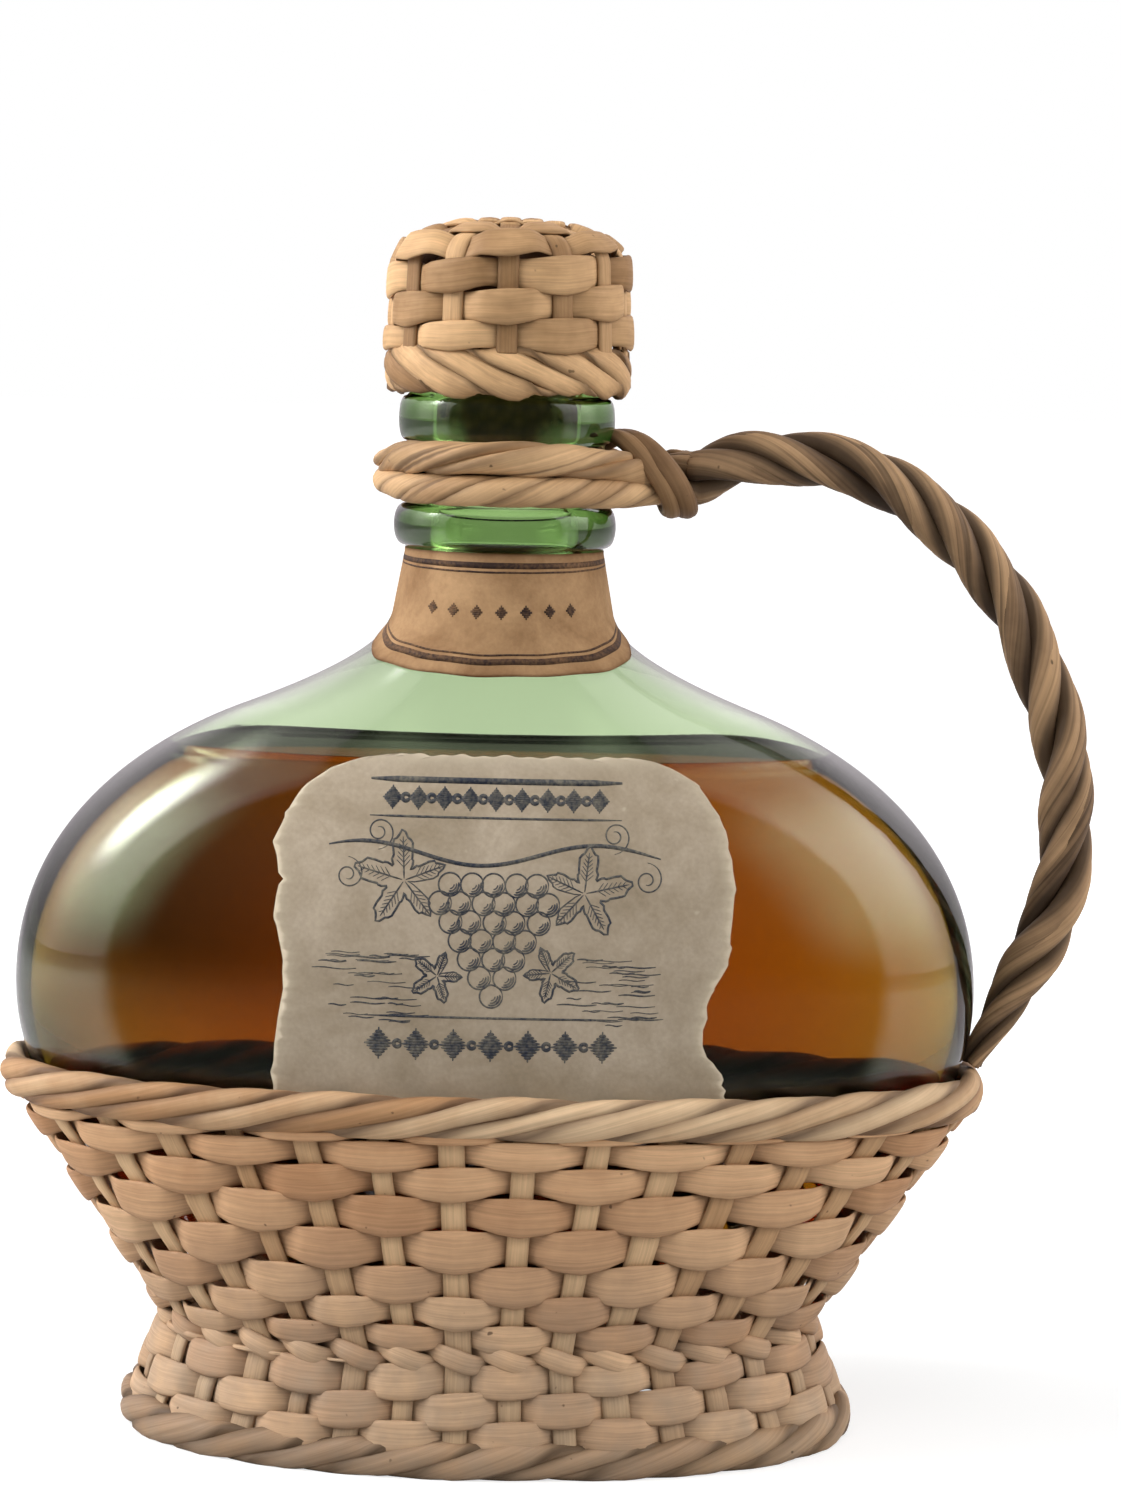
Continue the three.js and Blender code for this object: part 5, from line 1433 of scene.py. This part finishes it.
@dataclass
class Carrier:
    """Rush collar round the neck, its tie and the laid handle. Sizes in millimetres from the flask's middle."""

    flask: Flask
    basket: Basket
    neck: float = 15.4
    strand: float = 2.2
    fit: float = 0.3
    low: float = 148.4
    high: float = 153.1
    reach: float = 26.2
    eye: float = 2.6
    eye_slimness: float = 0.75
    collar_steps: int = 360
    collar_length: float = 135.0
    leaf_tones: tuple[float, ...] = (0.2, 0.5)
    ply_tones: tuple[float, ...] = (0.15, 0.6, 0.35)
    tie_steps: int = 140
    handle_radius: float = 4.3
    handle_lay: float = 40.0  # length of one turn of the strands
    handle_seat: float = 1.9
    handle_reach: float = 89.7
    handle_far_rise: float = 25.5
    handle_arch: float = 13.5
    handle_tip: float = 0.5
    handle_steps: int = 420
    handle_tones: tuple[float, ...] = (0.3, 0.55, 0.2, 0.7, 0.4, 0.1)  # of each half strand

    @property
    def middle(self) -> float:
        """Level between the collar's two strands."""
        return (self.low + self.high) / 2

    def ring_line(self) -> np.ndarray:
        """Closed line of the collar.

        Returns:
            Flat points round the neck and out to the eye, evenly stepped.
        """
        line = np.concatenate([
            circle(0, 0, self.neck + self.fit + self.strand, np.radians(np.linspace(42, 318, 40))),
            circle(self.reach - self.eye, 0, self.eye, np.radians(np.linspace(-80, 80, 9))),
        ])
        for _ in range(3):
            line = 0.25 * np.roll(line, 1, 0) + 0.5 * line + 0.25 * np.roll(line, -1, 0)
        return evenly(np.concatenate([line, line[:1]]), self.collar_steps, False)

    def build_collar(self) -> None:
        """Makes the upper strand of two slow-twisted leaves and the lower one of three plies."""
        rush = COLLAR_RUSH.make()
        count = self.collar_steps
        flat = self.ring_line()
        tangent, _ = along_path(np.pad(flat, ((0, 0), (0, 1))), True)
        out = np.cross(tangent, UPRIGHT)
        angle = np.arctan2(flat[:, 1], flat[:, 0])
        # The strands are drawn together at the left, where the rush is bent round, and at the eye
        bent = np.exp(-(((np.abs(angle) - math.pi) / 0.42) ** 2))
        flat[:, 0] -= 1.1 * np.exp(-(((np.abs(angle) - math.pi) / 0.2) ** 2))
        met = smooth(6, self.reach, flat[:, 0])
        slim = 1 - (1 - self.eye_slimness) * smooth(self.reach - 9, self.reach - 3, flat[:, 0])
        share = np.arange(count) / count
        along = share * self.collar_length
        wave = 0.3 * np.sin(TURN * 3 * share) + 0.6 * np.exp(-(((angle + 1.75) / 0.5) ** 2))
        line = np.column_stack([flat, self.high + wave - 1.2 * bent - 2.0 * met])
        mesh = StripMesh(self.flask.origin)
        for ply, tone in enumerate(self.leaf_tones):
            phase = TURN * (ply / 2 + 3 * share + 0.02 * np.sin(TURN * 4 * share))
            centre, side, normal = wind(line, out, UPRIGHT, phase, 1.05 * slim * (1 - 0.2 * bent), True)
            width = 4.9 * slim * (1 - 0.3 * bent) * (1 + 0.05 * np.sin(TURN * 5 * share + 1))
            rings, across = LEAF.rings(centre, side, normal, width, 2.7 * slim * (1 - 0.2 * bent))
            # Painted shade at the edges, where the leaves meet
            mesh.loft(rings, along, across, tone, 0.7 * LEAF.edge(5)[None], True)
        mesh.build("collar_flat_strand", rush, Body.FLASK, Slot.GOLD_RUSH, "collar_upper")
        line = np.column_stack([flat, self.low + 0.9 * bent - 0.3 * met])
        mesh = StripMesh(self.flask.origin)
        for ply, tone in enumerate(self.ply_tones):
            phase = TURN * (ply / 3 + 5 * share)
            centre, side, normal = wind(line, out, UPRIGHT, phase, 1.15 * slim * (1 - 0.3 * bent), True)
            rings, across = STRAND.rings(centre, side, normal, 3.6 * slim, 2.5 * slim)
            # Painted shade at the edges, where the plies meet
            mesh.loft(rings, along, across, tone, 0.7 * STRAND.edge(6)[None], True)
        mesh.build("collar_twisted_strand", rush, Body.FLASK, Slot.GOLD_RUSH, "collar_lower")

    def build_tie(self) -> None:
        """Makes the strands that come round from behind the neck and tie the handle to the collar."""
        mesh = StripMesh(self.flask.origin)
        # Corners of a strand's path from the collar's eye: across, in depth and up
        wraps = ((-14, 11.5, 3.6), (-11.5, 4.5, 6.2), (-8.5, -3.4, 6.2), (-5.0, -7.2, 3.4), (-1.6, -6.8, -0.8),
                 (0.2, -4.2, -4.8), (-0.4, 1.6, -5.8), (-1.8, 5.4, -1.2), (-0.6, 3.6, 3.2))
        tail = ((2.0, 0.5, 3.0), (7.0, -1.5, 3.0))
        size = np.interp(np.linspace(0, 1, self.tie_steps), (0, 0.1, 0.85, 1), (0.6, 1, 1, 0.5))
        for number, shift in enumerate((0.0, 2.3)):
            corners = np.concatenate([np.add(wraps, [shift, 0, 0]), tail]) + [self.reach, 0, self.middle]
            line = curve(corners, self.tie_steps)
            tangent, along = along_path(line)
            normal = unit((line - [0, 0, self.middle]) * [0, 1, 1])
            normal = unit(normal - tangent * dot(normal, tangent))
            section = BUNDLES[number]
            rings, across = section.rings(line, np.cross(normal, tangent), normal, 3.3 * size, 2.3 * size)
            # Painted shade at the edges, where the bundles meet
            mesh.loft(rings, along, across, 0.35 + 0.4 * number, 0.5 * section.edge(6)[None])
        mesh.build("handle_lashing", TIE_RUSH.make(), Body.FLASK, Slot.BROWN_RUSH, "handle_tie")

    def handle_line(self) -> np.ndarray:
        """Middle line of the handle.

        Returns:
            Points from the collar's eye to the rim, evenly stepped.
        """
        rim = self.basket.rim_line(np.zeros(1), np.zeros(1))[0, 0]
        start = np.array([self.reach + self.eye_slimness * self.strand + self.handle_seat, 0, self.middle])
        far = np.array([self.handle_reach, 0, self.flask.belly + self.handle_far_rise])
        end = np.array([rim, 0, self.basket.rim + self.basket.rim_half_height + self.fit])
        across, drop, fall = far[0] - start[0], start[2] - far[2], far[2] - end[2]
        curves = (
            (start, start + [0.44 * across, 0, self.handle_arch], far + [0, 0, 0.75 * drop], far),
            (far, far - [0, 0, 0.36 * fall], end + [0.42 * (far[0] - end[0]), 0, 0.32 * fall], end),
        )
        t = np.linspace(0, 1, 400)[:, None]
        line = [(1 - t) ** 3 * a + 3 * t * (1 - t) ** 2 * b + 3 * t * t * (1 - t) * c + t**3 * d
                for a, b, c, d in curves]
        # The strands run on into the collar's eye
        eye = start - [5.5, 0, 0.6] * np.linspace(1, 0.04, 12)[:, None]
        return evenly(np.concatenate([eye, *line]), self.handle_steps)

    def build_handle(self) -> None:
        """Makes the three laid strands of the handle."""
        mesh = StripMesh(self.flask.origin)
        line = self.handle_line()
        tangent, along = along_path(line)
        up = np.broadcast_to(np.array([0.0, 1, 0]), line.shape)
        out = np.cross(tangent, up)
        t = np.linspace(0, 1, self.handle_steps)
        size = 1 - (1 - self.handle_tip) * smooth(0.84, 1, t) - 0.15 * (1 - smooth(0, 0.05, t))
        size = self.handle_radius * size
        # A core fills the rope, painted fully dark as the shade between the strands
        rings, across = STRAND.rings(line, out, up, 0.9 * size, 0.9 * size)
        mesh.loft(rings, along, across, 1.0, 1.0)
        # Each strand is a leaf folded in two; the halves lie closer together near the collar
        spread = np.interp(t, (0.15, 0.5), (0.04, 0.058))
        for number, tone in enumerate(self.handle_tones):
            pair, half = divmod(number, 2)
            drift = 0.06 * np.sin(11 * t + 2.1 * pair) + 0.05 * np.sin(23 * t + pair)
            phase = TURN * (pair / 3 + (half - 0.5) * spread - along / self.handle_lay + 0.35 * drift)
            radius = size * (1 + 0.5 * drift + 0.04 * np.sin(31 * t + 1.7 * number))
            centre, side, normal = wind(line, out, up, phase, 0.57 * radius, False)
            section = BUNDLES[pair]
            rings, across = section.rings(centre, side, normal, 0.96 * radius, 0.92 * radius)
            # Painted shade: darker at each half strand's edges, on its inner face and in its folds
            inner = np.clip(-np.asarray(section.height), 0, 1)
            folds = np.clip((1 - np.hypot(section.across, section.height)) * 12, 0, 1)
            shade = np.clip(1.15 * section.edge(2.6) + 0.5 * inner + 0.5 * folds, 0, 1)
            mesh.loft(rings, along, across, tone, shade[None])
        names = [f"handle_strand_{i}" for i in (1, 2, 3)]
        mesh.build("laid_handle", HANDLE_RUSH.make(), Body.FLASK, Slot.BROWN_RUSH, *names)

    def build(self) -> None:
        """Makes the collar, the tie and the handle."""
        self.build_collar()
        self.build_tie()
        self.build_handle()


@dataclass
class Stopper:
    """Cork with a woven willow cap. Sizes in millimetres from the flask's middle."""

    flask: Flask
    stakes: int = 13
    stake_width: float = 3.4
    stake_thickness: float = 0.9
    skein: float = 0.9
    radius: float = 17.6
    spread: float = 0.9
    bottom: float = 163.1
    top: float = 187.1
    corner: float = 4.5
    dome: float = 2.6
    button: float = 8.0
    offset: float = 0.95
    row_low: float = 6.7  # level of the lowest round's lower edge
    row_pitch: float = 4.72
    rows: float = 4.0
    top_gap: float = 0.3
    top_pitch: float = 4.3
    top_rows: float = 1.4
    border_height: float = 7.2
    border_half: float = 1.7
    cork_shank: float = 11.3
    cork_head: float = 15.6
    cork_length: float = 24.0
    cork_top: float = 185.4
    side: float = field(init=False)
    bend: float = field(init=False)
    flat: float = field(init=False)

    def __post_init__(self) -> None:
        """Works out the lengths along the cap's side, corner and top."""
        self.side = self.top - self.corner - self.bottom
        self.bend = math.pi / 2 * self.corner
        self.flat = self.radius - self.corner

    def cap(self, angle: np.ndarray, level: np.ndarray) -> np.ndarray:
        """Points on the cap's middle surface.

        Args:
            angle: angles round the middle.
            level: lengths up the side, round the corner and over the top.

        Returns:
            The points.
        """
        level = np.asarray(level, float)
        bend = np.clip(level - self.side, 0, self.bend) / self.corner
        inward = np.clip(level - self.side - self.bend, 0, self.flat - 0.01)
        radius = np.where(level <= self.side, self.radius + self.spread * np.clip(1 - level / self.side, 0, 2),
                          self.flat + self.corner * np.cos(bend) - inward)
        z = np.where(level <= self.side, self.bottom + level, self.top - self.corner * (1 - np.sin(bend)))
        z = z + np.where(inward > 0, self.dome * (1 - ((self.flat - inward) / self.flat) ** 2), 0)
        return oval(angle, radius, radius, 2.0, z)

    def side_edge(self, turn: np.ndarray) -> np.ndarray:
        """Lower edge of the skein round the side."""
        return self.row_low + self.row_pitch * np.clip(turn - 0.5, 0, self.rows)

    def top_edge(self, turn: np.ndarray) -> np.ndarray:
        """Lower edge of the skein over the top."""
        low = self.row_low + self.row_pitch * self.rows + self.top_gap
        return low + self.top_pitch * np.clip(turn - 0.5, 0, self.top_rows)

    def border(self, angle: np.ndarray, z: np.ndarray) -> np.ndarray:
        """Points on the upright surface through the border's line."""
        return oval(angle, self.radius, self.radius, 2.0, z)

    def build_cap(self) -> None:
        """Makes the cap's stakes, skeins, border and plaited button."""
        rng = np.random.default_rng(5)
        willow = CAP_WILLOW.make()
        origin = self.flask.origin
        angles = BACK + (np.arange(self.stakes) + 0.5) / self.stakes * TURN
        crown = self.side + self.bend + self.flat
        mesh = StripMesh(origin)
        level = np.linspace(self.border_height - 1, crown - self.button + 2.2, 90)
        for place in angles:
            point, around, _, out = directions(self.cap, place, level)
            rings, across = SKEIN.rings(point, around, out, self.stake_width * rng.normal(1, 0.06),
                                        self.stake_thickness)
            # A little darker all over, and darker at the edges as painted shade
            mesh.loft(rings, lengths(point), across, rng.random(), 0.12 + 0.3 * SKEIN.edge()[None])
        button = self.button + 0.6
        Plait(button, button, 2.0, self.top + self.dome - 0.75, pitch=3.4, strip=3.2, thickness=0.8, wave=0.4,
              dome=0.7).weave(mesh, rng)
        mesh.build("cap_uprights", willow, Body.STOPPER, Slot.CAP_WILLOW, "cap_stakes")
        for name, edge, rows, offset, swell, node in (
            ("cap_side_weave", self.side_edge, self.rows, self.offset, (1.22, 1.14, 1.02, 0.94, 1.0), "cap_weaver"),
            ("cap_top_weave", self.top_edge, self.top_rows, self.offset * 0.9, (1.1, 1.06, 0.98, 0.9, 0.85),
             "cap_top_weaver"),
        ):
            mesh = StripMesh(origin)
            Skein(self.cap, angles, 0, rows, edge, offset, self.skein, swell).weave(mesh, rng)
            mesh.build(name, willow, Body.STOPPER, Slot.CAP_WILLOW, node)
        mesh = StripMesh(origin)
        half = self.border_height / 2
        RolledBorder(self.border, self.bottom + half, 4, 13, self.border_half, half, 3.9, 1.9, way=-1,
                     shingle=-0.15).roll(mesh, rng)
        mesh.build("cap_border_roll", willow, Body.STOPPER, Slot.CAP_WILLOW, "cap_border_1", "cap_border_2")

    def build_cork(self) -> None:
        """Makes the cork with its head inside the cap."""
        low, mouth, top = self.flask.mouth - self.cork_length, self.flask.mouth + 0.3, self.cork_top
        shank, head = self.cork_shank, self.cork_head
        profile = [(shank - 1.4, low), (shank - 0.8, low + 0.4), (shank - 0.5, low + 1.2), (shank, mouth),
                   (head - 0.4, mouth), (head, mouth + 0.4), (head, top - 4.5), (head - 0.6, top - 2.6),
                   (head - 1.9, top - 1), (head - 4, top)]
        angle = np.linspace(0, TURN, 64, endpoint=False)
        mesh = self.flask.shell([oval(angle, r, r, 2.0, z) for r, z in profile])
        mesh.build("cut_cork", CORK.make(), Body.STOPPER, Slot.CORK, "cork")

    def build(self) -> None:
        """Makes the cork and the cap."""
        self.build_cork()
        self.build_cap()


# Studio


@dataclass
class Studio:
    """White sweep, soft boxes and the camera at the photograph's angle."""

    flask: Flask
    distance: float = 600.0  # camera to the middle of the flask, in millimetres
    height: float = 168.8
    aside: float = 9.5
    pitch: float = 5.8  # degrees down
    roll: float = 1.3  # degrees
    focal: float = 3827.0  # in pixels of the 1494 pixel high frame
    frame_height: float = 1494.0
    sensor: float = 36.0
    floor_half: float = 12.0  # metres

    def camera(self) -> None:
        """Places the camera."""
        data = bpy.data.cameras.new("camera")
        data.sensor_width = self.sensor
        data.lens = self.sensor * self.focal / self.frame_height
        data.clip_start, data.clip_end = 0.01, 100
        made = bpy.data.objects.new("camera", data)
        x, y = self.flask.origin[:2]
        roll = Matrix.Rotation(math.radians(self.roll), 3, "Z")
        made.matrix_world = (Euler((math.radians(90 - self.pitch), 0, 0)).to_matrix() @ roll).to_4x4()
        made.location = Vector((x + self.aside, y - self.distance, self.height)) * MM
        bpy.context.scene.collection.objects.link(made)
        bpy.context.scene.camera = made

    def sheet(self, name: str, corners: Sequence[tuple[float, float, float]],
              material: bpy.types.Material) -> bpy.types.Object:
        """Adds a four-cornered sheet.

        Args:
            name: its name.
            corners: its corners in metres.
            material: its finish.

        Returns:
            The new object.
        """
        mesh = bpy.data.meshes.new(name)
        mesh.from_pydata(corners, [], [(0, 1, 2, 3)])
        mesh.materials.append(material)
        made = bpy.data.objects.new(name, mesh)
        bpy.context.scene.collection.objects.link(made)
        return made

    def panel(self, name: str, at: tuple[float, float, float], size: tuple[float, float], radiance: float,
              soft: float, is_mirrored: bool = False) -> None:
        """Adds a lit cloth panel that faces the flask and fades at its edges.

        Args:
            name: its name.
            at: its place in metres.
            size: its width and height in metres.
            radiance: its brightness in the middle.
            soft: share of its half size over which it fades.
            is_mirrored: whether it shows in reflections.
        """
        material, tree = new_material(f"lit_cloth_{name}")
        parts = add(tree, "SeparateXYZ", [add(tree, "TexCoord").outputs["Generated"]])
        level = radiance
        for axis in (0, 1):
            away = add(tree, "Math", [parts.outputs[axis], 0.5], operation="SUBTRACT")
            away = add(tree, "Math", [away], operation="ABSOLUTE")
            fade = add(tree, "MapRange", [away, 0.5 - 0.5 * soft, 0.5, 1.0, 0.0], **SMOOTH)
            level = add(tree, "Math", [fade, level], **MULTIPLY)
        glow = add(tree, "Emission", [WHITE, level])
        both = add(tree, "AddShader", [glow, add(tree, "BsdfTransparent")])
        add(tree, "OutputMaterial", [both])
        x, y = size[0] / 2, size[1] / 2
        made = self.sheet(name, [(-x, -y, 0), (x, -y, 0), (x, y, 0), (-x, y, 0)], material)
        made.location = at
        made.rotation_euler = (Vector((0, 0, 0.09)) - Vector(at)).to_track_quat("Z", "Y").to_euler()
        made.visible_camera = False
        made.visible_glossy = is_mirrored

    def card(self) -> None:
        """Adds the dark card behind the flask on the left, seen only through the wine: painted shade in the wine's
        left side, with a faint painted glow.
        """
        material, tree = new_material("dark_card_painted_shade")
        parts = add(tree, "SeparateXYZ", [add(tree, "TexCoord").outputs["Generated"]])
        # It fades out towards the middle of the flask and at its lower edge, above the belly
        cover = add(tree, "MapRange", [parts.outputs[0], 0.45, 1.0, 1.0, 0.0], **SMOOTH)
        edge = add(tree, "MapRange", [parts.outputs[2], 0.0, 0.22, 0.0, 1.0], **SMOOTH)
        cover = add(tree, "Math", [cover, edge], **MULTIPLY)
        # A faint painted glow
        dim = add(tree, "Emission", [(1, 0.9, 0.8, 1), 0.05])
        both = add(tree, "MixShader", [cover, add(tree, "BsdfTransparent"), dim])
        add(tree, "OutputMaterial", [both])
        left, right, y, low, high = -0.12, 0.0, 0.072, 0.052, 0.1
        made = self.sheet("dark_card", [(left, y, low), (right, y, low), (right, y, high), (left, y, high)], material)
        made.visible_camera = made.visible_diffuse = made.visible_glossy = made.visible_shadow = False

    def world(self) -> None:
        """Makes the white surroundings, as a light tent open towards the camera."""
        made = bpy.data.worlds.new("white_sweep")
        made.use_nodes = True
        tree = made.node_tree
        tree.nodes.clear()
        path = add(tree, "LightPath").outputs
        way = add(tree, "SeparateXYZ", [add(tree, "TexCoord").outputs["Generated"]]).outputs
        # In reflections the camera's side of the room is dark and the tent round it is bright
        tent = add(tree, "MapRange", [way[1], -0.48, -0.42, 0.1, 2.3], **SMOOTH)
        sides = add(tree, "MapRange", [way[1], -0.41, 0.1, 0.0, 2.0])
        shine = add(tree, "Math", [tent, sides], operation="ADD")
        # The tent is dimmer straight behind the flask, near the floor and overhead
        for fade in ([way[1], 0.1, 0.5, 1.0, 0.4], [way[2], 0.0, 0.5, 0.4, 1.0], [way[2], 0.55, 0.85, 1.0, 0.3]):
            shine = add(tree, "Math", [shine, add(tree, "MapRange", fade, **SMOOTH)], **MULTIPLY)
        mirrored = add(tree, "Math", [path["Glossy Depth"], 1.0], operation="MINIMUM")
        level = add(tree, "Mix", {0: mirrored, 2: 0.25, 3: shine})
        # Light that the inside of the glass mirrored sees the same room, dimmer towards the back
        inner = add(tree, "Math", [shine, 0.95], operation="MINIMUM")
        dimmer = add(tree, "MapRange", [way[1], 0.0, 0.3, 1.0, 0.3], **SMOOTH)
        inner = add(tree, "Math", [inner, dimmer], **MULTIPLY)
        through = add(tree, "Mix", {0: mirrored, 2: 0.78, 3: inner})
        level = add(tree, "Mix", {0: path["Is Transmission Ray"], 2: level, 3: through})
        level = add(tree, "Mix", {0: path["Is Camera Ray"], 2: level, 3: 1.0})
        tint = add(tree, "Mix", {0: mirrored, 6: WHITE, 7: (1, 0.93, 0.97, 1)}, **COLOUR)
        add(tree, "OutputWorld", [add(tree, "Background", [tint, level])])
        bpy.context.scene.world = made

    def floor(self) -> None:
        """Makes the pale floor that keeps the flask's shadow."""
        material, tree = new_material("pale_floor_paper")
        path = add(tree, "LightPath").outputs
        mirrored = add(tree, "Math", [path["Glossy Depth"], 1.0], operation="MINIMUM")
        straight = add(tree, "Math", [path["Is Transmission Ray"], mirrored], operation="SUBTRACT")
        straight = add(tree, "Math", [straight, 0.85], **MULTIPLY)
        seen = add(tree, "Math", [path["Is Camera Ray"], straight], operation="MAXIMUM")
        # Painted light: the paper glows for the camera and through the glass, more further out, so that it runs on
        # into the white behind
        place = add(tree, "NewGeometry").outputs["Position"]
        away = add(tree, "VectorMath", [place], operation="LENGTH")
        lit = add(tree, "MapRange", [away, 0.12, 0.45, 0.62, 1.0], **SMOOTH)
        glow = add(tree, "Emission", [WHITE, add(tree, "Math", [seen, lit], **MULTIPLY)])
        # In reflections the floor on the camera's side is as dark as the room there
        way = add(tree, "SeparateXYZ", [add(tree, "VectorMath", [place], operation="NORMALIZE")])
        front = add(tree, "MapRange", [way.outputs[1], -0.5, -0.38, 0.9, 0.0], **SMOOTH)
        far = add(tree, "MapRange", [away, 0.09, 0.2, 0.35, 1.0], **SMOOTH)
        dark = add(tree, "Math", [front, far], **MULTIPLY)
        dark = add(tree, "Math", [dark, mirrored], **MULTIPLY)
        grey = add(tree, "MapRange", {0: dark, 3: 0.5, 4: 0.0})
        both = add(tree, "AddShader", [glow, add(tree, "BsdfDiffuse", [grey])])
        add(tree, "OutputMaterial", [both])
        half = self.floor_half
        made = self.sheet("floor", [(-half, -half, 0), (half, -half, 0), (half, half, 0), (-half, half, 0)], material)

    def build(self) -> None:
        """Makes the camera, the light and the floor."""
        self.camera()
        self.panel("left_panel", (-0.9, -0.12, 0.5), (1.35, 1.05), 5.0, 0.75)
        self.panel("left_strip", (-0.74, -0.05, 0.68), (0.36, 0.7), 21.0, 1.0, True)
        self.panel("right_panel", (0.86, -0.24, 0.52), (1.6, 1.1), 3.3, 0.7)
        self.panel("top_panel", (0.0, -0.6, 1.05), (0.9, 0.6), 3.1, 0.6)
        self.card()
        self.world()
        self.floor()
        bpy.context.scene.view_settings.view_transform = "Standard"


def main() -> None:
    """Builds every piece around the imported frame."""
    logging.basicConfig(level=logging.INFO, format="%(name)s: %(message)s")
    low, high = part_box("glass_flask")
    origin = np.array([(low.x + high.x) / 2, (low.y + high.y) / 2, 0]) / MM
    flask = Flask(origin)
    Studio(flask).build()
    flask.build()
    FrontLabel(flask).build()
    NeckLabel(flask).build()
    basket = Basket(flask)
    basket.build()
    Carrier(flask, basket).build()
    Stopper(flask).build()


if __name__ == "__main__":
    main()
